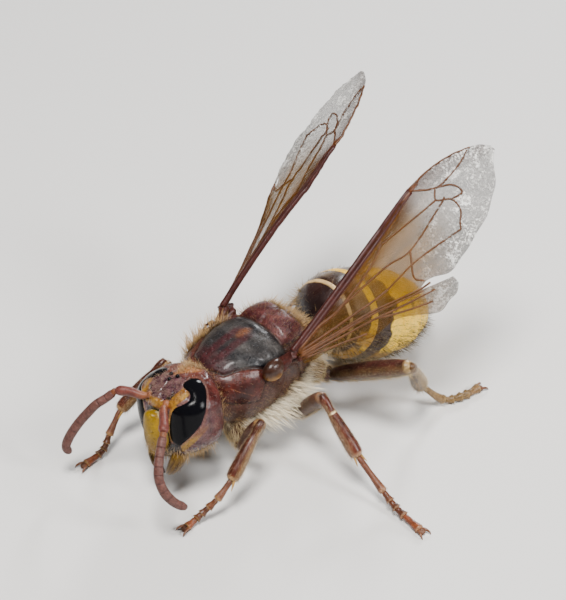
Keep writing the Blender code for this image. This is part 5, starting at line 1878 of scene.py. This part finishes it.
# Thickness along each limb as (share, radius), for a leg of thickness 1
COXA_RADII = ((0, 0.9), (0.4, 0.92), (0.75, 0.74), (0.95, 0.50), (1, 0.36))
TROCHANTER_RADII = ((0, 0.30), (0.3, 0.46), (0.8, 0.44), (1, 0.30))
FEMUR_RADII = ((0, 0.30), (0.08, 0.42), (0.35, 0.56), (0.62, 0.60), (0.90, 0.50), (0.97, 0.42), (1, 0.26))
SHIN_RADII = (
    (0, 0.22), (0.06, 0.32), (0.26, 0.31), (0.36, 0.38), (0.70, 0.50), (0.90, 0.51), (0.96, 0.46), (1, 0.30),
)
FOOT_RADII = ((0, 0.55), (0.12, 0.80), (0.5, 0.92), (0.85, 1.22), (0.95, 1.25), (1, 0.75))
FOOT_WIDTHS = (0.23, 0.23, 0.24, 0.25, 0.25)

# Rows and columns of a foot joint, and how far its underside stays above the floor
FOOT_ROWS = 22
FOOT_COLUMNS = 18
CLEAR_OF_FLOOR = 0.01


class Leg:
    """The places, thickness and colours of one leg, and its skin as it grows."""

    def __init__(self, which, side):
        """Reads the leg's places and works out the directions that its foot needs."""
        places = [np.asarray(place, float) for place in LEGS[(which, side)]]
        self.hip, self.trochanter, self.knee, self.ankle = places[:4]
        self.foot = places[3:]
        self.which = which
        self.name = side_name(f"leg_{which}", side)
        self.thick = THICKNESS[which]
        self.dark, self.shin, self.pale = (np.asarray(colour) for colour in LEG_COLOURS[which])
        self.tip = self.foot[-1]
        ahead = unit(self.tip - self.foot[-2])
        self.level = unit(np.array([ahead[0], ahead[1], 0.0]))
        self.beside = np.array([-self.level[1], self.level[0], 0.0])
        self.skin = Heap()

    def radii(self, keys):
        """Thickness keys at this leg's thickness."""
        return [(share, radius * self.thick) for share, radius in keys]


def add_limb(leg, limb, start, end, rough=0.34, rim=None, ring=0.0, hair=(0.15, 0.1, 0.2), fringe=0.0,
             tint=GOLD, edges=0.0):
    """Adds a limb that runs from start to end in colour, with its rim, ring, fringe below, and pale edges of
    hair and painted sheen.
    """
    rings, share = limb
    columns = rings.shape[1]
    colour = mix(start, end, share)
    if rim is not None:
        colour = mix(colour, rim, smooth(0.93, 0.98, share))
    if ring:
        colour = mix(colour, CREAM, band(share, ring, 0.004, 0.014))
    paint = around(colour, columns) * (1 + 0.25 * ripple(rings, 0.9, 90))[..., None]
    beside = np.abs(np.cos(2 * math.pi * (np.arange(columns) + 0.5) / columns))
    # Pale hair and painted sheen along both edges of the limb
    edge_hair_and_sheen = edges * smooth(0.55, 0.92, beside)[None] * smooth(0.05, 0.2, share)[:, None]
    paint = mix(paint, leg.pale * 0.6, edge_hair_and_sheen)
    under = smooth(0.2, 0.8, -grown_normals(rings)[..., 2])
    way = unit(rings[-1].mean(0) - rings[0].mean(0))
    weight = hair[0] + fringe * under + edge_hair_and_sheen
    bristle = hair[1] + 0.4 * fringe * under
    length = hair[2] + 0.2 * under
    leg.skin.add(rings, with_roughness(paint, rough), (weight, bristle, length, way * 1.1, tint))


def add_upper_leg(leg):
    """Coxa, trochanter, femur and tibia."""
    way = unit(leg.trochanter - leg.hip)
    coxa_end = leg.hip + (leg.trochanter - leg.hip) * 0.80
    thigh_way = unit(leg.knee - leg.trochanter)
    shin_way = unit(leg.ankle - leg.knee)
    coxa = limb_rings(leg.hip - way * 0.3, coxa_end, leg.radii(COXA_RADII))
    trochanter = limb_rings(
        coxa_end - way * 0.12, leg.trochanter + thigh_way * 0.25, leg.radii(TROCHANTER_RADII), rows=20,
    )
    femur = limb_rings(leg.trochanter, leg.knee, leg.radii(FEMUR_RADII), rows=60, over=0.94, bow=0.06)
    tibia = limb_rings(
        leg.knee - shin_way * 0.18, leg.ankle + shin_way * 0.10, leg.radii(SHIN_RADII), rows=60, flat=0.94,
    )
    add_limb(leg, coxa, CHOCOLATE, COXA_BROWN, hair=(1.3, 0.3, 0.32), tint=CREAM)
    add_limb(leg, trochanter, COXA_BROWN, leg.dark, hair=(0.7, 0.3, 0.26), tint=CREAM)
    add_limb(
        leg, femur, leg.dark, leg.dark * 1.5, rough=0.28, rim=leg.pale * 0.7, fringe=0.6, tint=CREAM,
        edges=0.25 if leg.which == "hind" else 0.10,
    )
    add_limb(
        leg, tibia, mix(leg.dark, leg.shin, 0.55), leg.shin, rough=0.32, rim=leg.pale,
        ring=0.30 if leg.which == "mid" else 0.0, hair=(0.20, 0.5, 0.20), tint=SHIN_HAIR, edges=0.7,
    )


def add_foot(leg):
    """The five joints of the foot, each paler and hairy at its end."""
    share = np.linspace(0, 1, FOOT_ROWS)
    for i, (first, last) in enumerate(zip(FOOT_JOINTS, FOOT_JOINTS[1:])):
        path = path_points(leg.foot, first + (last - first) * (share * 1.06 - 0.05))
        radii = FOOT_WIDTHS[i] * leg.thick * along(FOOT_RADII, share)[:, 0]
        rings = tube_rings(path, radii, FOOT_COLUMNS)
        rings[..., 2] = np.maximum(rings[..., 2], FLOOR + CLEAR_OF_FLOOR)
        joint = mix(FOOT_COLOURS[i], leg.pale * 0.6, 0.75 * (leg.which == "hind"))
        colour = mix(mix(leg.shin, joint, 0.45), joint, share)
        colour = mix(colour, leg.pale, 0.8 * smooth(0.84, 0.95, share))
        way = unit(rings[-1].mean(0) - rings[0].mean(0))
        clear = smooth(FLOOR + 0.34, FLOOR + 0.56, rings[..., 2])
        weight = (0.25 + 0.9 * smooth(0.7, 0.95, share))[:, None] * clear
        leg.skin.add(
            rings, with_roughness(around(colour, FOOT_COLUMNS), 0.36),
            (weight, weight * 0.7, 0.18, way * 1.4, leg.pale * 1.2),
        )


def add_pad_and_spurs(leg):
    """The pad between the claws, and one spur on a fore shin or two on the others."""
    x, y, z = np.moveaxis(ball((0, 0, 0), (0.26, 0.28, 0.18), 14, 18)[..., None], -2, 0)
    rings = leg.tip + leg.level * 0.12 + x * leg.level + y * leg.beside + z * (0, 0, 1)
    rings[..., 2] = np.maximum(rings[..., 2] - (leg.tip[2] - FLOOR - 0.16), FLOOR + CLEAR_OF_FLOOR)
    leg.skin.add(rings, PAD_BROWN)
    shin_way = unit(leg.ankle - leg.knee)
    share = np.linspace(0, 1, 12)[:, None]
    for k in SIDES[: 1 if leg.which == "fore" else 2]:
        spur = leg.ankle - shin_way * 0.05 + leg.beside * 0.22 * k
        path = spur + (shin_way * 0.7 + leg.beside * 0.18 * k) * share
        leg.skin.add(tube_rings(path, 0.09 * (1 - 0.85 * share[:, 0] ** 2), 10), SPUR_OCHRE)


def claw_rings(leg, k):
    """Rings of one claw, curved down to the floor."""
    reach = leg.tip + leg.level * 0.48 + leg.beside * 0.34 * k
    point = leg.tip + leg.level * 0.62 + leg.beside * 0.36 * k
    share = np.linspace(0, 1, 24)
    path = path_points([
        leg.tip - leg.level * 0.10 + leg.beside * 0.10 * k,
        leg.tip + leg.level * 0.20 + leg.beside * 0.24 * k + (0, 0, 0.06),
        np.array([reach[0], reach[1], FLOOR + 0.20]),
        np.array([point[0], point[1], FLOOR + 0.03]),
    ], share)
    return tube_rings(path, np.interp(share, (0, 0.4, 0.8, 1), (0.11, 0.09, 0.05, 0.015)), 12)


def make_leg(number, which, side):
    """One leg's skin and coat, and its claws."""
    leg = Leg(which, side)
    add_upper_leg(leg)
    add_foot(leg)
    add_pad_and_spurs(leg)
    nodes = [f"{leg.name}_{part}" for part in ("coxa", "femur", "tibia", "tarsus")]
    made = show(leg.skin.make(f"{leg.name}_skin", MATERIALS["leg"]), "leg_shell", *nodes)
    coats(made, "leg_shell", 500 + 20 * number, 1.2e8, 2.2e7, 1.35)
    claws = Heap()
    for k in SIDES:
        claws.add(claw_rings(leg, k), CLAW_BROWN)
    show(claws.make(f"{leg.name}_claws", MATERIALS["gloss"]), "foot_shell")


# Camera, floor and light

# The camera's place in drawing units, the way back from what it looks at, and its lens in millimetres
CAMERA_PLACE = (79.79, -74.72, 87.53)
CAMERA_BACK = (0.5707, -0.5511, 0.6088)
LENS = 130.2
SENSOR = 36.0
NEAREST = 0.01
FARTHEST = 20.0
FLOOR_HALF = 1.5
FLOOR_GREY = (0.74, 0.73, 0.71, 1.0)
LIT_POINT = (0, 0, 0.006)

# Lights: place in metres, width in metres, power in watts, colour
LIGHTS = {
    "key": ((0.035, -0.06, 0.225), 0.075, 0.95, (1.0, 0.97, 0.94)),
    "side": ((0.20, 0.07, 0.16), 0.075, 0.62, (1.0, 1.0, 1.0)),
    "rear": ((-0.12, 0.20, 0.12), 0.055, 0.50, (0.96, 0.98, 1.0)),
}
SKY = (0.9, 0.93, 1.0, 1.0)
SKY_STRENGTH = 0.07


def make_camera():
    """The camera in the photograph's place."""
    data = bpy.data.cameras.new("camera")
    data.lens = LENS
    data.sensor_width = SENSOR
    data.clip_start = NEAREST
    data.clip_end = FARTHEST
    camera = bpy.data.objects.new("camera", data)
    camera.location = Vector(metres(CAMERA_PLACE))
    camera.rotation_euler = (-Vector(CAMERA_BACK)).to_track_quat("-Z", "Y").to_euler()
    bpy.context.scene.collection.objects.link(camera)
    bpy.context.scene.camera = camera


def make_floor():
    """A pale floor at the height of the feet."""
    mesh = bpy.data.meshes.new("floor")
    corners = ((-1, -1), (1, -1), (1, 1), (-1, 1))
    mesh.from_pydata([(x * FLOOR_HALF, y * FLOOR_HALF, 0) for x, y in corners], [], [(0, 1, 2, 3)])
    floor = bpy.data.objects.new("floor", mesh)
    bpy.context.scene.collection.objects.link(floor)
    material, _, shader = new_material("floor")
    shader.inputs["Base Color"].default_value = FLOOR_GREY
    shader.inputs["Roughness"].default_value = 0.75
    mesh.materials.append(material)


def make_light():
    """A key light above the face, one from the side and one from behind, under a dim sky."""
    for name, (place, size, power, colour) in LIGHTS.items():
        data = bpy.data.lights.new(name, "AREA")
        data.shape = "DISK"
        data.size = size
        data.energy = power
        data.color = colour
        light = bpy.data.objects.new(name, data)
        light.location = place
        light.rotation_euler = (Vector(LIT_POINT) - Vector(place)).to_track_quat("-Z", "Y").to_euler()
        bpy.context.scene.collection.objects.link(light)
    world = bpy.data.worlds.new("world")
    world.use_nodes = True
    world.node_tree.nodes["Background"].inputs["Color"].default_value = SKY
    world.node_tree.nodes["Background"].inputs["Strength"].default_value = SKY_STRENGTH
    bpy.context.scene.world = world


# For each shell: pits to the millimetre, their depth, uneven colour in patches, clear coat, fine bumps and
# uneven colour in specks
SHELLS = {
    "thorax": (3.8, 0.040, 0.30, 0.16, 0.040, 0.45),
    "head": (3.6, 0.035, 0.25, 0.24, 0.025, 0.32),
    "clypeus": (3.4, 0.060, 0.15, 0.08, 0.020, 0.15),
    "jaw": (4.0, 0.030, 0.25, 0.1, 0.020, 0.25),
    "tail": (4.5, 0.020, 0.12, 0.08, 0.020, 0.14),
    "gloss": (5.0, 0.010, 0.25, 0.20, 0.015, 0.25),
    "feeler": (6.0, 0.020, 0.15, 0.0, 0.030, 0.30),
    "leg": (5.0, 0.020, 0.25, 0.15, 0.025, 0.35),
    "vein": (5.0, 0.010, 0.25, 0.0, 0.015, 0.30),
}

make_camera()
make_floor()
make_light()
MATERIALS = {name: chitin(name, *numbers) for name, numbers in SHELLS.items()}
MATERIALS |= {
    "film": film_material(),
    "eye": eye_material(),
    "hair": hair_material("hair", ((0.0, 0.55), (0.8, 1.25))),
    "dark_hair": hair_material("dark_hair", ((0.0, 0.10), (0.9, 0.45))),
}
COAT = coat_tree()
make_thorax()
make_tegulae()
make_head()
make_eyes()
make_clypeus()
make_mandibles()
make_feelers()
make_tail()
make_wings()
for number, (which, side) in enumerate(LEGS):
    make_leg(number, which, side)
